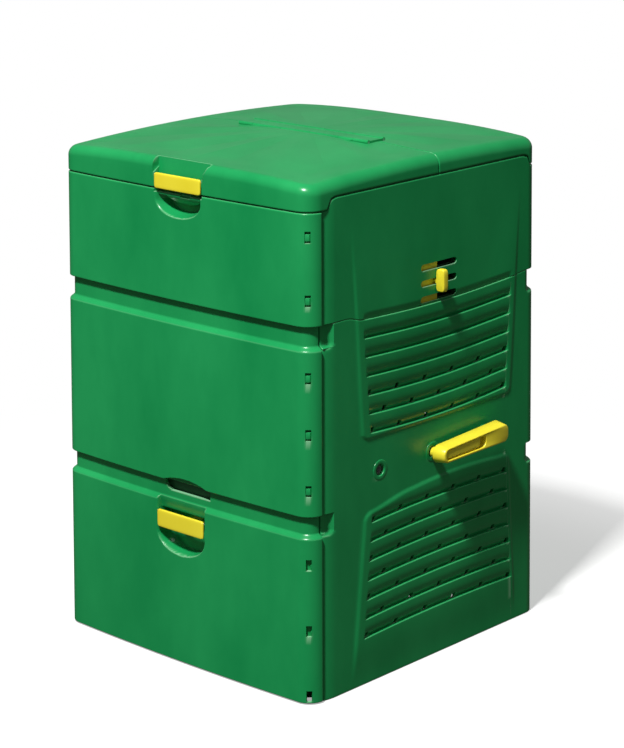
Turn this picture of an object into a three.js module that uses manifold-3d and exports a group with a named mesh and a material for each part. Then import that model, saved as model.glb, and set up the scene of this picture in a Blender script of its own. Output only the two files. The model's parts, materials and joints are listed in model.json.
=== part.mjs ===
// Compost bin with two lid halves, a tilting door at the front and the rear, an air slide in
// each side, and a turning floor worked by a lever.
// Lengths are millimetres and +Z is up. The front looks towards -Y, the lever is on the +X side.
// The origin lies on the ground, in the middle of the bin's outer box.

import * as THREE from "three";
import { mergeVertices } from "three/addons/utils/BufferGeometryUtils.js";
import Module from "manifold-3d";

const wasm = await Module();
wasm.setup();

// Fits and cuts
const fitGap = 0.4;
const runningGap = 0.6;
const overrun = 5;
const mergeDistance = 0.001;
const crumbVolume = 1;
const flatTolerance = 0.05;
const lap = 1;
const rodSides = 12;
const roundSides = 20;
const swingSides = 64;
const degree = Math.PI / 180;

// Walls: four leaning sides with round corners, bowed at the front and rear
const wallWidth = 772;
const wallDepth = 788;
const wallBow = 10.7;
const wallLeanShare = 0.0118;
const wallThickness = 8;
const cornerRadius = 40;
const cornerSteps = 4;
const bowSteps = 8;
const frontWallTop = 1068;
const sideWallTop = 1093.5;

// The rim is a thinner flange that stands up inside the lid
const rimInset = 6.5;
const rimThickness = 5.5;
const rimHeight = 12;
const rimRoot = 18;

// Tiers: each one stands on the recessed band of the tier below
const doorFoot = 3;
const doorGap = 3;
const bandDepth = 10.5;
const bandFootRise = 12;
const bandSkinDrop = 4;
const bandInset = bandDepth + wallThickness;
const ledgeThickness = 7;
const lowerBand = { foot: 370, top: 420.5 };
const upperBand = { foot: 776.5, top: 830.5 };

// Seam between the front wall, which wraps the corner, and the side
const frontSeamSetback = 38;
const seamWidth = 4;
const pocketLength = 31;
const rearPocketLength = 6;
const softEdgeWidth = 34;
const softEdgeDepth = 3;

// Corner flange of the side, behind the front and rear walls, and its hooks
const flangeThickness = 4.4;
const flangeReach = 12;
const flangeWeb = 8;
const flangeMargin = 18;
const doorFlangeFoot = 28;
const hookSlotWidth = 9.5;
const hookSlotHeight = 25;
const hookSlotSetback = 9;
const hookWidth = 4;
const hookHeight = 9;
const hookLift = 4;
const hookRecess = 2.5;
const hookDepth = 33;
const hookShortfall = 3;
const doorHooks = { lowest: 19.5, pitch: 147.8, count: 3 };
const middleHooks = { lowest: 478, pitch: 122, count: 3 };
const topHooks = { lowest: 886, pitch: 133, count: 2 };

// Lid
const lidFoot = 1071.4;
const lidSideFoot = 1096.7;
const lidThickness = 4;
const lidRise = 51.3;
const lidCrown = lidSideFoot + lidRise;
const lidEdgeRadius = 22;
const lidEdgeSteps = 4;
const lidInnerSteps = 2;
const lidSideSteps = 6;
const lidSideFall = 12;
const lidFrontFall = 12;
const lidRingShares = [0.8, 0.55, 0.3];
const lidSeamGap = 0.8;
const frontStep = { low: -326, high: -289.6 };
const rearStep = { low: 353, high: 312.5 };
const stepPoints = 6;

// Hinge strip across the crown
const seamLine = 30;
const hingeSpacing = 50;
const hingeSink = 3;
const hingeHeight = lidCrown - hingeSink;
const hingeLength = 390;
const hingeBarrel = 5;
const hingeRod = 2.5;
const hingeBore = 2.8;
const hingeCount = 9;
const hingeWeb = 5.6;
const hingeWebLap = 14;
const stripThickness = 9;

// Bridge beam under the strip
const beamWidth = 50;
const beamHeight = 45;
const beamTop = 1085;
const beamThickness = 5;
const pedestalWidth = 32;
const pedestalMargin = 10;
const shoeThickness = 9;
const shoeLength = 64;
const shoeReach = 15;

// Latches: a yellow rocker bar on a pin, with a tongue or an arm behind it
const latchCentre = 3;
const latchThickness = 7;
const latchProud = 3;
const latchAxisDrop = 5;
const latchAxisInset = 2;
const latchPin = 1.5;
const latchBore = 1.8;
const latchPinReach = 4;
const latchSideGap = 2;
const latchCheek = 6;
const cheekRise = 4;
const lidLatch = { width: 138, low: 1070, high: 1103.5 };
const doorLatch = { width: 142, low: 308.5, high: 348.5 };
const latchRoom = 15;
const latchBackWall = 4;
const thumbRecess = { fallShare: 0.16, leftOver: 4, rightOver: 12 };
const latchRounding = { edge: 2.5, bulge: 0.6, reach: 4 };

// The lid's nose ends just short of a plate with a window, which stands on the body's ledge
const strikeGap = 1.1;
const nose = { centre: 18, width: 26, low: 1071.5, high: 1076.5, tip: 9.5 };
const ledge = { low: 1057, high: 1061.5, front: 3 };
const ledgeSlot = { width: 32, front: 5, back: 9.5 };
const strikePlate = { width: 34, thickness: 2.4, high: 1080, rim: 3 };
const lidCavity = { width: 137, low: 1011.6, bowl: 1048, depth: 34, floorShare: 0.72, skin: 4 };
const doorCavity = { width: 148, low: 254, bowl: 300, high: 380, depth: 36, floorShare: 0.86 };
const hatch = { centre: 16.5, width: 138, low: 396, bulge: 12.5, depth: 9.8 };

// The door's arm ends just under a hook that hangs from the middle tier behind the door
const arm = { width: 26, low: 322, high: 329, tip: 52, tipHeight: 332, tipLength: 4 };
const armSlot = { side: 4, low: 306, high: 335 };
const doorHook = { width: 30, front: 43, thickness: 4, drop: 1.5, brace: 18 };

// Door hinge: knuckles on the door, lugs on the base
const doorAxisInset = 8.5;
const doorAxisHeight = 14;
const doorKnuckle = 6;
const doorKnuckleLength = 30;
const doorKnuckleOffset = 150;
const doorPin = 2.3;
const doorBore = 2.6;
const doorLug = 4;
const doorLugThickness = 6;

// Base grid
const baseInset = 13.6;
const baseHeight = 16;
const baseRing = 30;
const baseTabLength = 60;
const baseTabOffset = 210;
const baseBars = 9;
const baseBarShare = 0.35;

// Rib fields of the side
const recessDepth = 3;
const scoopDepth = 9;
const scoopSkin = 3.5;
const scoopSteps = 4;
const holeWidth = 11;
const holeHeight = 9;
const holeMargin = 4;
const holesPerRow = 6;
const holeLift = 1;
const upperRibs = {
  count: 7, front: -220, rear: 287, frontNarrow: 4, rearNarrow: -3,
  high: 823, pitch: 42.2, sag: -9, height: 32, rise: 5,
};
const lowerRibs = {
  count: 7, front: -190, rear: 276, frontNarrow: -4.5, rearNarrow: 3.2,
  high: 367, pitch: 43.2, sag: 6, height: 32, rise: 2,
};
const topScoopDepth = 2.5;
const topScoopShare = 0.5;
const upperHoleRows = 3;

// The soft recesses that the rib fields lie in, as places along the side and heights
const upperField = {
  low: 553, corner: 568, middle: 680, joint: 825, high: 1023,
  front: { low: -222, corner: -229, middle: -237, joint: -245, high: -259 },
  rear: { low: 282, corner: 289, middle: 297, joint: 305, high: 319 },
};
const lowerField = {
  front: {
    foot: -259, toe: -240, footHigh: 76, footLow: 60,
    shoulder: -217, shoulderLow: 400, top: -181, shoulderHigh: 414,
  },
  rear: {
    foot: 313, toe: 298, footHigh: 32, footLow: 18,
    shoulder: 284, shoulderLow: 396, top: 262, shoulderHigh: 408,
  },
  arch: { front: 39, rear: 150, high: 424, side: 423 },
};
const jointRun = 50;
const jointDepth = 20;

// Air slide
const slideSlots = { front: -30, rear: 91, height: 12.5, low: 826.5, pitch: 35.2, count: 3 };
const slideEnd = 34;
const slideLength = 138;
const slideThickness = 3;
const slideCover = 5;
const slideTravel = { open: 47, shut: 50 };
const knob = { width: 14, height: 50, proud: 23, low: 838.5, rounding: 7, taper: 1.2 };
const knobStem = { width: 13, height: 9 };
const guideThickness = 3;
const guideMargin = 8;

// Turning floor
const floorHeight = 478;
const shaftCentre = 10;
const shaftPitch = 177;
const shaftRadius = 9;
const bushWall = 2.6;
const bushLength = 20;
const bushSink = 2;
const bossRadius = 23;
const bossProud = 1.6;
const flapThickness = 12;
const flapHub = 14;
const flapSlots = 5;
const crankRadius = 40;
const crankThickness = 6;
const crankHub = 14;
const crankEye = 10;
const crankPin = 5;
const tieBarThickness = 6;
const tieBarHeight = 18;
const shelfThickness = 4;
const shelfFall = 20;
const bracketHeight = 8;

// Lever on the centre shaft
const leverStandOff = 14;
const leverThickness = 33;
const leverDraft = 4;
const leverHub = 17;
const leverLength = 212;
const leverRise = 6.5;
const leverTip = { halfHeight: 20.5, taper: 15, chamfer: 6 };
const leverPocket = { start: -5, end: 131, rim: 2, under: 6, depth: 16 };
const leverRib = { start: -2, end: 111, gap: 3.5, sink: 2 };
const shaftEndSkin = 5;
const leverCollar = 3;

// Fixed floor between the top and the middle chamber
const gridHeight = 14;
const gridBars = 12;
const gridFrame = 24;

// Colours
const green = new THREE.MeshStandardMaterial({ color: 0x1f8a4a, roughness: 0.38, flatShading: true });
const darkGreen = new THREE.MeshStandardMaterial({ color: 0x17663a, roughness: 0.5, flatShading: true });
const yellow = new THREE.MeshStandardMaterial({ color: 0xf4e42c, roughness: 0.35, flatShading: true });
const steel = new THREE.MeshStandardMaterial({
  color: 0xb8bcc0, roughness: 0.35, metalness: 1, flatShading: true,
});

const bin = new THREE.Group();

// Closed meshes and solids

function solidOf(geometry) {
  const bare = geometry.clone();
  bare.deleteAttribute("normal");
  bare.deleteAttribute("uv");
  const merged = mergeVertices(bare, mergeDistance);
  return new wasm.Manifold(new wasm.Mesh({
    numProp: 3,
    vertProperties: new Float32Array(merged.attributes.position.array),
    triVerts: new Uint32Array(merged.index.array),
  }));
}

function geometryOf(solid) {
  const mesh = solid.getMesh();
  const geometry = new THREE.BufferGeometry();
  geometry.setAttribute("position", new THREE.Float32BufferAttribute(mesh.vertProperties, 3));
  geometry.setIndex(new THREE.Uint32BufferAttribute(mesh.triVerts, 1));
  geometry.computeVertexNormals();
  return geometry;
}

function joined(...solids) {
  return solids.reduce((sum, solid) => sum.add(solid));
}

// Cuts that meet on a leaning face can leave crumbs, far smaller than any real piece
function withoutCrumbs(solid) {
  const bodies = solid.decompose().filter((body) => Math.abs(body.volume()) > crumbVolume);
  return joined(...bodies).simplify(flatTolerance);
}

function addPart(name, cutSolid, material) {
  const solid = withoutCrumbs(cutSolid);
  const mesh = new THREE.Mesh(geometryOf(solid), material);
  mesh.name = name;
  bin.add(mesh);
}

// Moves every corner of a solid with place(point); a mirrored solid is turned the right way out.
function reshaped(solid, place, isMirrored = false) {
  const geometry = geometryOf(solid);
  const corners = geometry.attributes.position;
  const point = new THREE.Vector3();
  for (let i = 0; i < corners.count; i += 1) {
    point.fromBufferAttribute(corners, i);
    place(point);
    corners.setXYZ(i, point.x, point.y, point.z);
  }
  if (isMirrored) {
    const order = geometry.index;
    for (let i = 0; i < order.count; i += 3) {
      const second = order.getX(i + 1);
      order.setX(i + 1, order.getX(i + 2));
      order.setX(i + 2, second);
    }
  }
  return solidOf(geometry);
}

function mirroredX(solid) {
  return reshaped(solid, (point) => { point.x = -point.x; }, true);
}

function mirroredY(solid) {
  return reshaped(solid, (point) => { point.y = -point.y; }, true);
}

function block([xLow, xHigh], [yLow, yHigh], [zLow, zHigh]) {
  const geometry = new THREE.BoxGeometry(xHigh - xLow, yHigh - yLow, zHigh - zLow);
  geometry.translate((xLow + xHigh) / 2, (yLow + yHigh) / 2, (zLow + zHigh) / 2);
  return solidOf(geometry);
}

function rodAlongX(radius, [xLow, xHigh], y, z, sides = rodSides) {
  const geometry = new THREE.CylinderGeometry(radius, radius, xHigh - xLow, sides);
  geometry.rotateZ(-Math.PI / 2);
  geometry.translate((xLow + xHigh) / 2, y, z);
  return solidOf(geometry);
}

function shapeOf(points) {
  return new THREE.Shape(points.map(([across, up]) => new THREE.Vector2(across, up)));
}

// An outline of [y, z] points carried along X
function prismAlongX(points, [xLow, xHigh]) {
  const geometry = new THREE.ExtrudeGeometry(shapeOf(points), {
    depth: xHigh - xLow, bevelEnabled: false, curveSegments: 1,
  });
  const axes = new THREE.Matrix4().set(0, 0, 1, xLow, 1, 0, 0, 0, 0, 1, 0, 0, 0, 0, 0, 1);
  return solidOf(geometry.applyMatrix4(axes));
}

// An outline of [x, z] points carried along Y
function prismAlongY(points, [yLow, yHigh]) {
  const geometry = new THREE.ExtrudeGeometry(shapeOf(points), {
    depth: yHigh - yLow, bevelEnabled: false, curveSegments: 1,
  });
  const axes = new THREE.Matrix4().set(1, 0, 0, 0, 0, 0, -1, yHigh, 0, 1, 0, 0, 0, 0, 0, 1);
  return solidOf(geometry.applyMatrix4(axes));
}

// An outline of [x, y] points carried along Z
function prismAlongZ(points, [zLow, zHigh]) {
  const geometry = new THREE.ExtrudeGeometry(shapeOf(points), {
    depth: zHigh - zLow, bevelEnabled: false, curveSegments: 1,
  });
  geometry.translate(0, 0, zLow);
  return solidOf(geometry);
}

// The flat cap of a ring, with its triangles running the same way round as the ring
function capOf(ring, flat) {
  const outline = ring.map(flat);
  const triangles = THREE.ShapeUtils.triangulateShape(outline, []);
  const area = ([a, b, c]) => THREE.ShapeUtils.area([outline[a], outline[b], outline[c]]);
  const total = triangles.reduce((sum, triangle) => sum + area(triangle), 0);
  const runsAlike = total * THREE.ShapeUtils.area(outline) > 0;
  return runsAlike ? triangles : triangles.map(([a, b, c]) => [a, c, b]);
}

// A closed solid through rings of equally many points; flat(point) gives a ring's two
// coordinates as seen along the stack.
function ringSolid(rings, flat) {
  const count = rings[0].length;
  const triangles = [];
  for (let ring = 0; ring + 1 < rings.length; ring += 1) {
    for (let i = 0; i < count; i += 1) {
      const here = ring * count + i;
      const next = ring * count + ((i + 1) % count);
      triangles.push([here, next, next + count], [here, next + count, here + count]);
    }
  }
  const lastRing = (rings.length - 1) * count;
  capOf(rings[0], flat).forEach(([a, b, c]) => triangles.push([a, c, b]));
  capOf(rings[rings.length - 1], flat)
    .forEach(([a, b, c]) => triangles.push([a + lastRing, b + lastRing, c + lastRing]));
  const points = rings.flat();
  const volume = triangles.reduce((sum, [a, b, c]) => (
    sum + points[a].dot(new THREE.Vector3().crossVectors(points[b], points[c]))
  ), 0);
  const outward = volume > 0 ? triangles : triangles.map(([a, b, c]) => [a, c, b]);
  const geometry = new THREE.BufferGeometry().setFromPoints(points);
  geometry.setIndex(outward.flat());
  return solidOf(geometry);
}

const seenAlongZ = (point) => new THREE.Vector2(point.x, point.y);
const seenAlongY = (point) => new THREE.Vector2(point.x, point.z);

// Wall geometry

function halfWidthAt(z) {
  return wallWidth / 2 - wallLeanShare * z;
}

function halfDepthAt(z) {
  return wallDepth / 2 - wallLeanShare * z;
}

function cornerXAt(z) {
  return halfWidthAt(z) - cornerRadius;
}

// How far the front and rear walls bow out past the corners, at a share of the half width
function bowAt(share) {
  return wallBow * (1 - share * share);
}

function cornerYAt(z) {
  return halfDepthAt(z) + bowAt(cornerXAt(z) / halfWidthAt(z)) - cornerRadius;
}

// The wall's plan at height z, moved in by inset, anticlockwise from the right side
function planOutline(z, inset, sideSteps = 1) {
  const cornerX = cornerXAt(z);
  const cornerY = cornerYAt(z);
  const radius = cornerRadius - inset;
  const quarters = [[1, 1], [-1, 1], [-1, -1], [1, -1]];
  const points = [];
  quarters.forEach(([signX, signY], quarter) => {
    for (let step = 0; step <= cornerSteps; step += 1) {
      const angle = (quarter + step / cornerSteps) * (Math.PI / 2);
      points.push(new THREE.Vector3(
        signX * cornerX + radius * Math.cos(angle),
        signY * cornerY + radius * Math.sin(angle),
        z,
      ));
    }
    const isBowed = quarter % 2 === 0;
    const steps = isBowed ? bowSteps : sideSteps;
    for (let step = 1; step < steps; step += 1) {
      const share = 1 - (2 * step) / steps;
      const x = signX * (isBowed ? cornerX * share : halfWidthAt(z) - inset);
      const bowedY = halfDepthAt(z) + bowAt(x / halfWidthAt(z)) - inset;
      points.push(new THREE.Vector3(x, signY * (isBowed ? bowedY : cornerY * share), z));
    }
  });
  return points;
}

// A stack of plan outlines, given as [height, inset] levels
function wallLoft(levels) {
  return ringSolid(levels.map(([z, inset]) => planOutline(z, inset)), seenAlongZ);
}

// A cavity has the same levels, run past its first and last one
function wallCavity(levels) {
  const [lowZ, lowInset] = levels[0];
  const [highZ, highInset] = levels[levels.length - 1];
  return wallLoft([[lowZ - overrun, lowInset], ...levels, [highZ + overrun, highInset]]);
}

// The wall of a tier: a loft outside, a loft inside, and the bands and rim on the way up
function tierShell({ foot, top, hasLedge = false, bands = [], hasRim = false }) {
  const outer = [[foot, 0]];
  const inner = hasLedge
    ? [[foot, bandInset], [foot + ledgeThickness, bandInset],
      [foot + ledgeThickness + bandDepth, wallThickness]]
    : [[foot, wallThickness]];
  let outerInset = 0;
  let innerInset = wallThickness;
  bands.forEach((band) => {
    outer.push([band.foot, 0], [band.foot + bandFootRise, bandDepth]);
    inner.push([band.foot - bandSkinDrop, wallThickness]);
    inner.push([band.foot + bandFootRise - bandSkinDrop, bandInset]);
    const endsInBand = band.top >= top;
    if (endsInBand) {
      outerInset = bandDepth;
      innerInset = bandInset;
    } else {
      outer.push([band.top, bandDepth], [band.top, 0]);
      inner.push([band.top + ledgeThickness, bandInset]);
      inner.push([band.top + ledgeThickness + bandDepth, wallThickness]);
    }
  });
  if (hasRim) {
    outer.push([top, 0], [top, rimInset], [top + rimHeight, rimInset]);
    inner.push([top - rimRoot, wallThickness]);
    inner.push([top - rimRoot / 2, rimInset + rimThickness]);
    inner.push([top + rimHeight, rimInset + rimThickness]);
  } else {
    outer.push([top, outerInset]);
    inner.push([top, innerInset]);
  }
  return wallLoft(outer).subtract(wallCavity(inner));
}

// A shell between two insets
function plainShell(zLow, zHigh, outerInset, innerInset) {
  const outer = wallLoft([[zLow, outerInset], [zHigh, outerInset]]);
  return outer.subtract(wallCavity([[zLow, innerInset], [zHigh, innerInset]]));
}

// A box whose sides may lean: each bound is a length or a function of the height
function leaningBox([xLow, xHigh], [yLow, yHigh], [zLow, zHigh]) {
  const at = (bound, z) => (typeof bound === "function" ? bound(z) : bound);
  const ringAt = (z) => [
    new THREE.Vector3(at(xLow, z), at(yLow, z), z),
    new THREE.Vector3(at(xHigh, z), at(yLow, z), z),
    new THREE.Vector3(at(xHigh, z), at(yHigh, z), z),
    new THREE.Vector3(at(xLow, z), at(yHigh, z), z),
  ];
  return ringSolid([ringAt(zLow), ringAt(zHigh)], seenAlongZ);
}

const farAway = wallWidth;
const tall = [-overrun, lidCrown + farAway];
const frontSeamAt = (z) => frontSeamSetback - halfDepthAt(z);
const sideFrontAt = (z) => frontSeamAt(z) + seamWidth;

// Features drawn on an upright wall, with their outer face at 0, are moved onto the leaning one
function onFront(solid) {
  return reshaped(solid, (point) => { point.y -= halfDepthAt(point.z) + wallBow; });
}

function onRight(solid) {
  return reshaped(solid, (point) => { point.x += halfWidthAt(point.z); });
}

// Lid edge on the sides: low at both ends, with an S step up to the side's height

function stepCurve({ low, high }, lowZ, highZ) {
  const points = [];
  for (let step = 0; step <= stepPoints; step += 1) {
    const share = step / stepPoints;
    const eased = share * share * (3 - 2 * share);
    points.push([low + (high - low) * share, lowZ + (highZ - lowZ) * eased]);
  }
  return points;
}

function sideEdgeLine(drop) {
  return [
    ...stepCurve(frontStep, lidFoot - drop, lidSideFoot - drop),
    ...stepCurve(rearStep, lidFoot - drop, lidSideFoot - drop).reverse(),
  ];
}

// Side panels

function ribLine(ribs, index) {
  const front = ribs.front + ribs.frontNarrow * index;
  const rear = ribs.rear + ribs.rearNarrow * index;
  const base = ribs.high - ribs.pitch * index;
  const heightAt = (y) => {
    const share = (y - front) / (rear - front);
    return base + ribs.rise * (share - 1 / 2) + ribs.sag * 4 * share * (1 - share);
  };
  return { front, rear, heightAt };
}

// A bar with its section in the wall's depth and height, carried along a rib line
function ribSweep(section, line, frontTrim, rearTrim) {
  const rings = [];
  for (let step = 0; step <= scoopSteps; step += 1) {
    const start = line.front + frontTrim;
    const y = start + ((line.rear - rearTrim - start) * step) / scoopSteps;
    rings.push(section.map(([depth, up]) => new THREE.Vector3(depth, y, line.heightAt(y) + up)));
  }
  return ringSolid(rings, (point) => new THREE.Vector2(point.x, point.z));
}

// The scoop above a rib's lip: deepest at the lip and running out to the face above it
function scoopCut(line, depth, height) {
  const face = -recessDepth;
  const section = [[overrun, 0], [face - depth, 0], [face, height], [overrun, height]];
  return ribSweep(section, line, 0, 0);
}

function scoopBack(line, depth, height) {
  const inner = -recessDepth - depth - scoopSkin;
  const section = [[-wallThickness + 1, -scoopSkin], [inner, -scoopSkin], [inner, scoopSkin],
    [-wallThickness, height], [-wallThickness + 1, height]];
  return ribSweep(section, line, -scoopSkin, -scoopSkin);
}

function ribHoles(line, index, count) {
  const depth = recessDepth + scoopDepth + scoopSkin + overrun;
  const pitch = (line.rear - line.front - 2 * holeMargin - holeWidth) / (holesPerRow - 1);
  const first = line.front + holeMargin + (index % 2 ? pitch / 2 : 0);
  const holes = [];
  for (let hole = 0; hole < count; hole += 1) {
    const y = first + hole * pitch;
    const z = line.heightAt(y) + holeLift;
    holes.push(block([-depth, overrun], [y, y + holeWidth], [z, z + holeHeight]));
  }
  return holes;
}

function holeCount(index) {
  return index % 2 ? holesPerRow - 1 : holesPerRow;
}

// The soft recess that a rib field lies in, as [y, z] points
function upperRecess() {
  const { low, corner, middle, joint, high, front, rear } = upperField;
  return [
    [front.low, low], [rear.low, low], [rear.corner, corner], [rear.middle, middle],
    [rear.joint, joint], [rear.high, high], [front.high, high], [front.joint, joint],
    [front.middle, middle], [front.corner, corner],
  ];
}

function lowerRecess() {
  const { front, rear, arch } = lowerField;
  return [
    [front.foot, front.footHigh], [front.toe, front.footLow], [rear.toe, rear.footLow],
    [rear.foot, rear.footHigh], [rear.shoulder, rear.shoulderLow], [rear.top, rear.shoulderHigh],
    [arch.rear, arch.side], [arch.front, arch.high],
    [front.top, front.shoulderHigh], [front.shoulder, front.shoulderLow],
  ];
}

// The joint between the lower and the upper side panel follows the topmost lip
function panelJoint() {
  const lip = ribLine(upperRibs, 0);
  const points = [[-wallDepth, upperBand.top], [lip.front - jointRun, upperBand.top]];
  for (let step = 0; step <= scoopSteps; step += 1) {
    const y = lip.front + ((lip.rear - lip.front) * step) / scoopSteps;
    points.push([y, lip.heightAt(y)]);
  }
  points.push([lip.rear + jointRun, upperBand.top], [wallDepth, upperBand.top]);
  return points;
}

function belowJoint(gap) {
  const line = panelJoint().map(([y, z]) => [y, z - gap]);
  const outline = [[-wallDepth, -overrun], ...line, [wallDepth, -overrun]];
  return prismAlongX(outline, [0, wallWidth]);
}

// The flange inside the corners, in one stretch between two bands, with its root on the side
function cornerFlange(zLow, zHigh) {
  const outerInset = wallThickness + runningGap;
  const innerInset = outerInset + flangeThickness;
  const web = plainShell(zLow, zHigh, wallThickness - 1, innerInset);
  const skin = plainShell(zLow, zHigh, outerInset, innerInset);
  const frontRoot = leaningBox(
    [0, farAway],
    [(z) => sideFrontAt(z) + runningGap, (z) => sideFrontAt(z) + flangeWeb],
    tall,
  );
  const frontTab = leaningBox(
    [(z) => cornerXAt(z) - flangeReach, farAway],
    [-farAway, (z) => sideFrontAt(z) + flangeWeb],
    tall,
  );
  const rearRoot = leaningBox(
    [(z) => cornerXAt(z) + runningGap, (z) => cornerXAt(z) + flangeWeb], [0, farAway], tall,
  );
  const rearTab = leaningBox(
    [(z) => cornerXAt(z) - flangeReach, (z) => cornerXAt(z) + flangeWeb], [0, farAway], tall,
  );
  return joined(
    web.intersect(frontRoot), skin.intersect(frontTab),
    web.intersect(rearRoot), skin.intersect(rearTab),
  );
}

// Heights of the hook slots of one tier
function hookHeights({ lowest, pitch, count }) {
  return [...Array(count).keys()].map((index) => lowest + pitch * index);
}

// A box at the round of the right front corner; setback is measured from the side face
function cornerBox(zLow, zHigh, outer, setback, width, depth) {
  const edge = halfWidthAt(zLow) - setback;
  const front = halfDepthAt(zLow) + wallBow;
  return block([edge - width, edge], [-front + outer, -front + depth + wallBow], [zLow, zHigh]);
}

function hookSlots(hooks) {
  return joined(...hookHeights(hooks).map((z) => cornerBox(
    z - hookSlotHeight / 2, z + hookSlotHeight / 2, -overrun,
    hookSlotSetback, hookSlotWidth, hookDepth,
  )));
}

// Hooks start on the corner flange and end under the wall's outer face; the door, which swings
// about its foot, has none in its lowest slot
function hookPegs(hooks, first = 0) {
  return joined(...hookHeights(hooks).slice(first).map((z) => {
    const low = z - hookSlotHeight / 2 + hookLift;
    return cornerBox(
      low, low + hookHeight, wallBow + hookRecess + hookSlotWidth,
      hookSlotSetback + lap, hookWidth, hookDepth - hookShortfall,
    );
  }));
}

// Swaps the two sides of the corner, so that a feature of the right front corner that is cut from
// the front lies at the left front corner, cut from the left
function turnedToLeft(solid) {
  return reshaped(solid, (point) => {
    const cornerX = cornerXAt(point.z);
    const cornerY = cornerYAt(point.z);
    const outX = point.x - cornerX;
    const outY = -point.y - cornerY;
    point.x = -(cornerX + outY);
    point.y = -(cornerY + outX);
  });
}

// The plain side wall between the seams, from foot to top
function sideZone(yLow, yHigh) {
  return leaningBox([cornerXAt, farAway], [yLow, yHigh], tall);
}

const frontPocketEnd = (z) => sideFrontAt(z) + pocketLength;
const rearPocketStart = (z) => halfDepthAt(z) - cornerRadius - rearPocketLength;

function bandedSide(options) {
  const { foot, plainFoot = foot, top, bands, hasLedge, hasRim } = options;
  const banded = tierShell({ foot, top, bands, hasLedge, hasRim });
  const plain = tierShell({ foot: plainFoot, top, hasRim });
  const closing = bands.length || hasLedge;
  const parts = [
    banded.intersect(sideZone(sideFrontAt, (z) => frontPocketEnd(z) + lap)),
    plain.intersect(sideZone(frontPocketEnd, rearPocketStart)),
    banded.intersect(sideZone((z) => rearPocketStart(z) - lap, farAway)),
  ];
  if (closing) {
    const heights = [
      ...bands.map((band) => [band.foot - bandSkinDrop, Math.min(band.top + bandDepth, top)]),
      ...(hasLedge ? [[foot, foot + ledgeThickness + bandDepth]] : []),
    ];
    heights.forEach(([zLow, zHigh]) => {
      const wall = plainShell(zLow, zHigh, 0, bandInset);
      parts.push(wall.intersect(sideZone(frontPocketEnd, (z) => frontPocketEnd(z) + wallThickness)));
      parts.push(wall.intersect(sideZone((z) => rearPocketStart(z) - wallThickness, rearPocketStart)));
    });
  }
  return joined(...parts);
}

// A soft bevel along the seam, on the face of the side panel
function seamBevel(zLow, zHigh) {
  const ringAt = (z) => {
    const start = sideFrontAt(z) - overrun;
    const end = sideFrontAt(z) + softEdgeWidth;
    return [
      new THREE.Vector3(halfWidthAt(z) - softEdgeDepth, start, z),
      new THREE.Vector3(halfWidthAt(z), end, z),
      new THREE.Vector3(halfWidthAt(z) + overrun, start, z),
    ];
  };
  return ringSolid([ringAt(zLow), ringAt(zHigh)], seenAlongZ);
}

function shaftPlaces() {
  return [-1, 0, 1].map((step) => shaftCentre + step * shaftPitch);
}

// A boss for a shaft: a low ring outside and a thick seat inside
function shaftBoss(y) {
  const wall = halfWidthAt(floorHeight);
  return rodAlongX(bossRadius, [wall - bushLength, wall + bossProud], y, floorHeight, roundSides);
}

function shaftHole(y) {
  const wall = halfWidthAt(floorHeight);
  const radius = shaftRadius + runningGap + bushWall + fitGap;
  return rodAlongX(radius, [wall - bushLength - overrun, wall + overrun], y, floorHeight, roundSides);
}

function lowerSide() {
  const top = upperBand.top + bandDepth;
  let panel = bandedSide({
    foot: 0, top, bands: [lowerBand, { foot: upperBand.foot, top }], hasLedge: false, hasRim: false,
  });
  const flanges = joined(
    cornerFlange(doorFlangeFoot, lowerBand.foot - flangeMargin),
    cornerFlange(lowerBand.top + flangeMargin, upperBand.foot - flangeMargin),
  );
  panel = joined(panel, flanges, ...shaftPlaces().map(shaftBoss));
  const recess = (outline) => onRight(prismAlongX(outline, [-recessDepth, overrun]));
  panel = panel.subtract(recess(upperRecess())).subtract(recess(lowerRecess()));
  panel = joined(panel, ...shaftPlaces().map(shaftBoss));
  for (let index = 0; index < lowerRibs.count; index += 1) {
    const line = ribLine(lowerRibs, index);
    panel = panel.add(onRight(scoopBack(line, scoopDepth, lowerRibs.height)));
    panel = panel.subtract(onRight(scoopCut(line, scoopDepth, lowerRibs.height)));
    panel = panel.subtract(onRight(joined(...ribHoles(line, index, holeCount(index)))));
  }
  for (let index = 1; index < upperRibs.count; index += 1) {
    const line = ribLine(upperRibs, index);
    panel = panel.add(onRight(scoopBack(line, scoopDepth, upperRibs.height)));
    panel = panel.subtract(onRight(scoopCut(line, scoopDepth, upperRibs.height)));
    if (index >= upperRibs.count - upperHoleRows) {
      panel = panel.subtract(onRight(joined(...ribHoles(line, index, holeCount(index)))));
    }
  }
  shaftPlaces().forEach((y) => { panel = panel.subtract(shaftHole(y)); });
  panel = panel.subtract(seamBevel(-overrun, lowerBand.foot));
  panel = panel.subtract(seamBevel(lowerBand.top, upperBand.foot));
  return panel.intersect(belowJoint(fitGap));
}

function slideSlot(index) {
  const { front, rear, height, low, pitch } = slideSlots;
  const z = low + pitch * index;
  const radius = height / 2;
  const depth = wallThickness + overrun;
  const bar = block([-depth, overrun], [front + radius, rear - radius], [z - radius, z + radius]);
  const ends = [front + radius, rear - radius].map((y) => rodAlongX(radius, [-depth, overrun], y, z));
  return joined(bar, ...ends);
}

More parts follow.
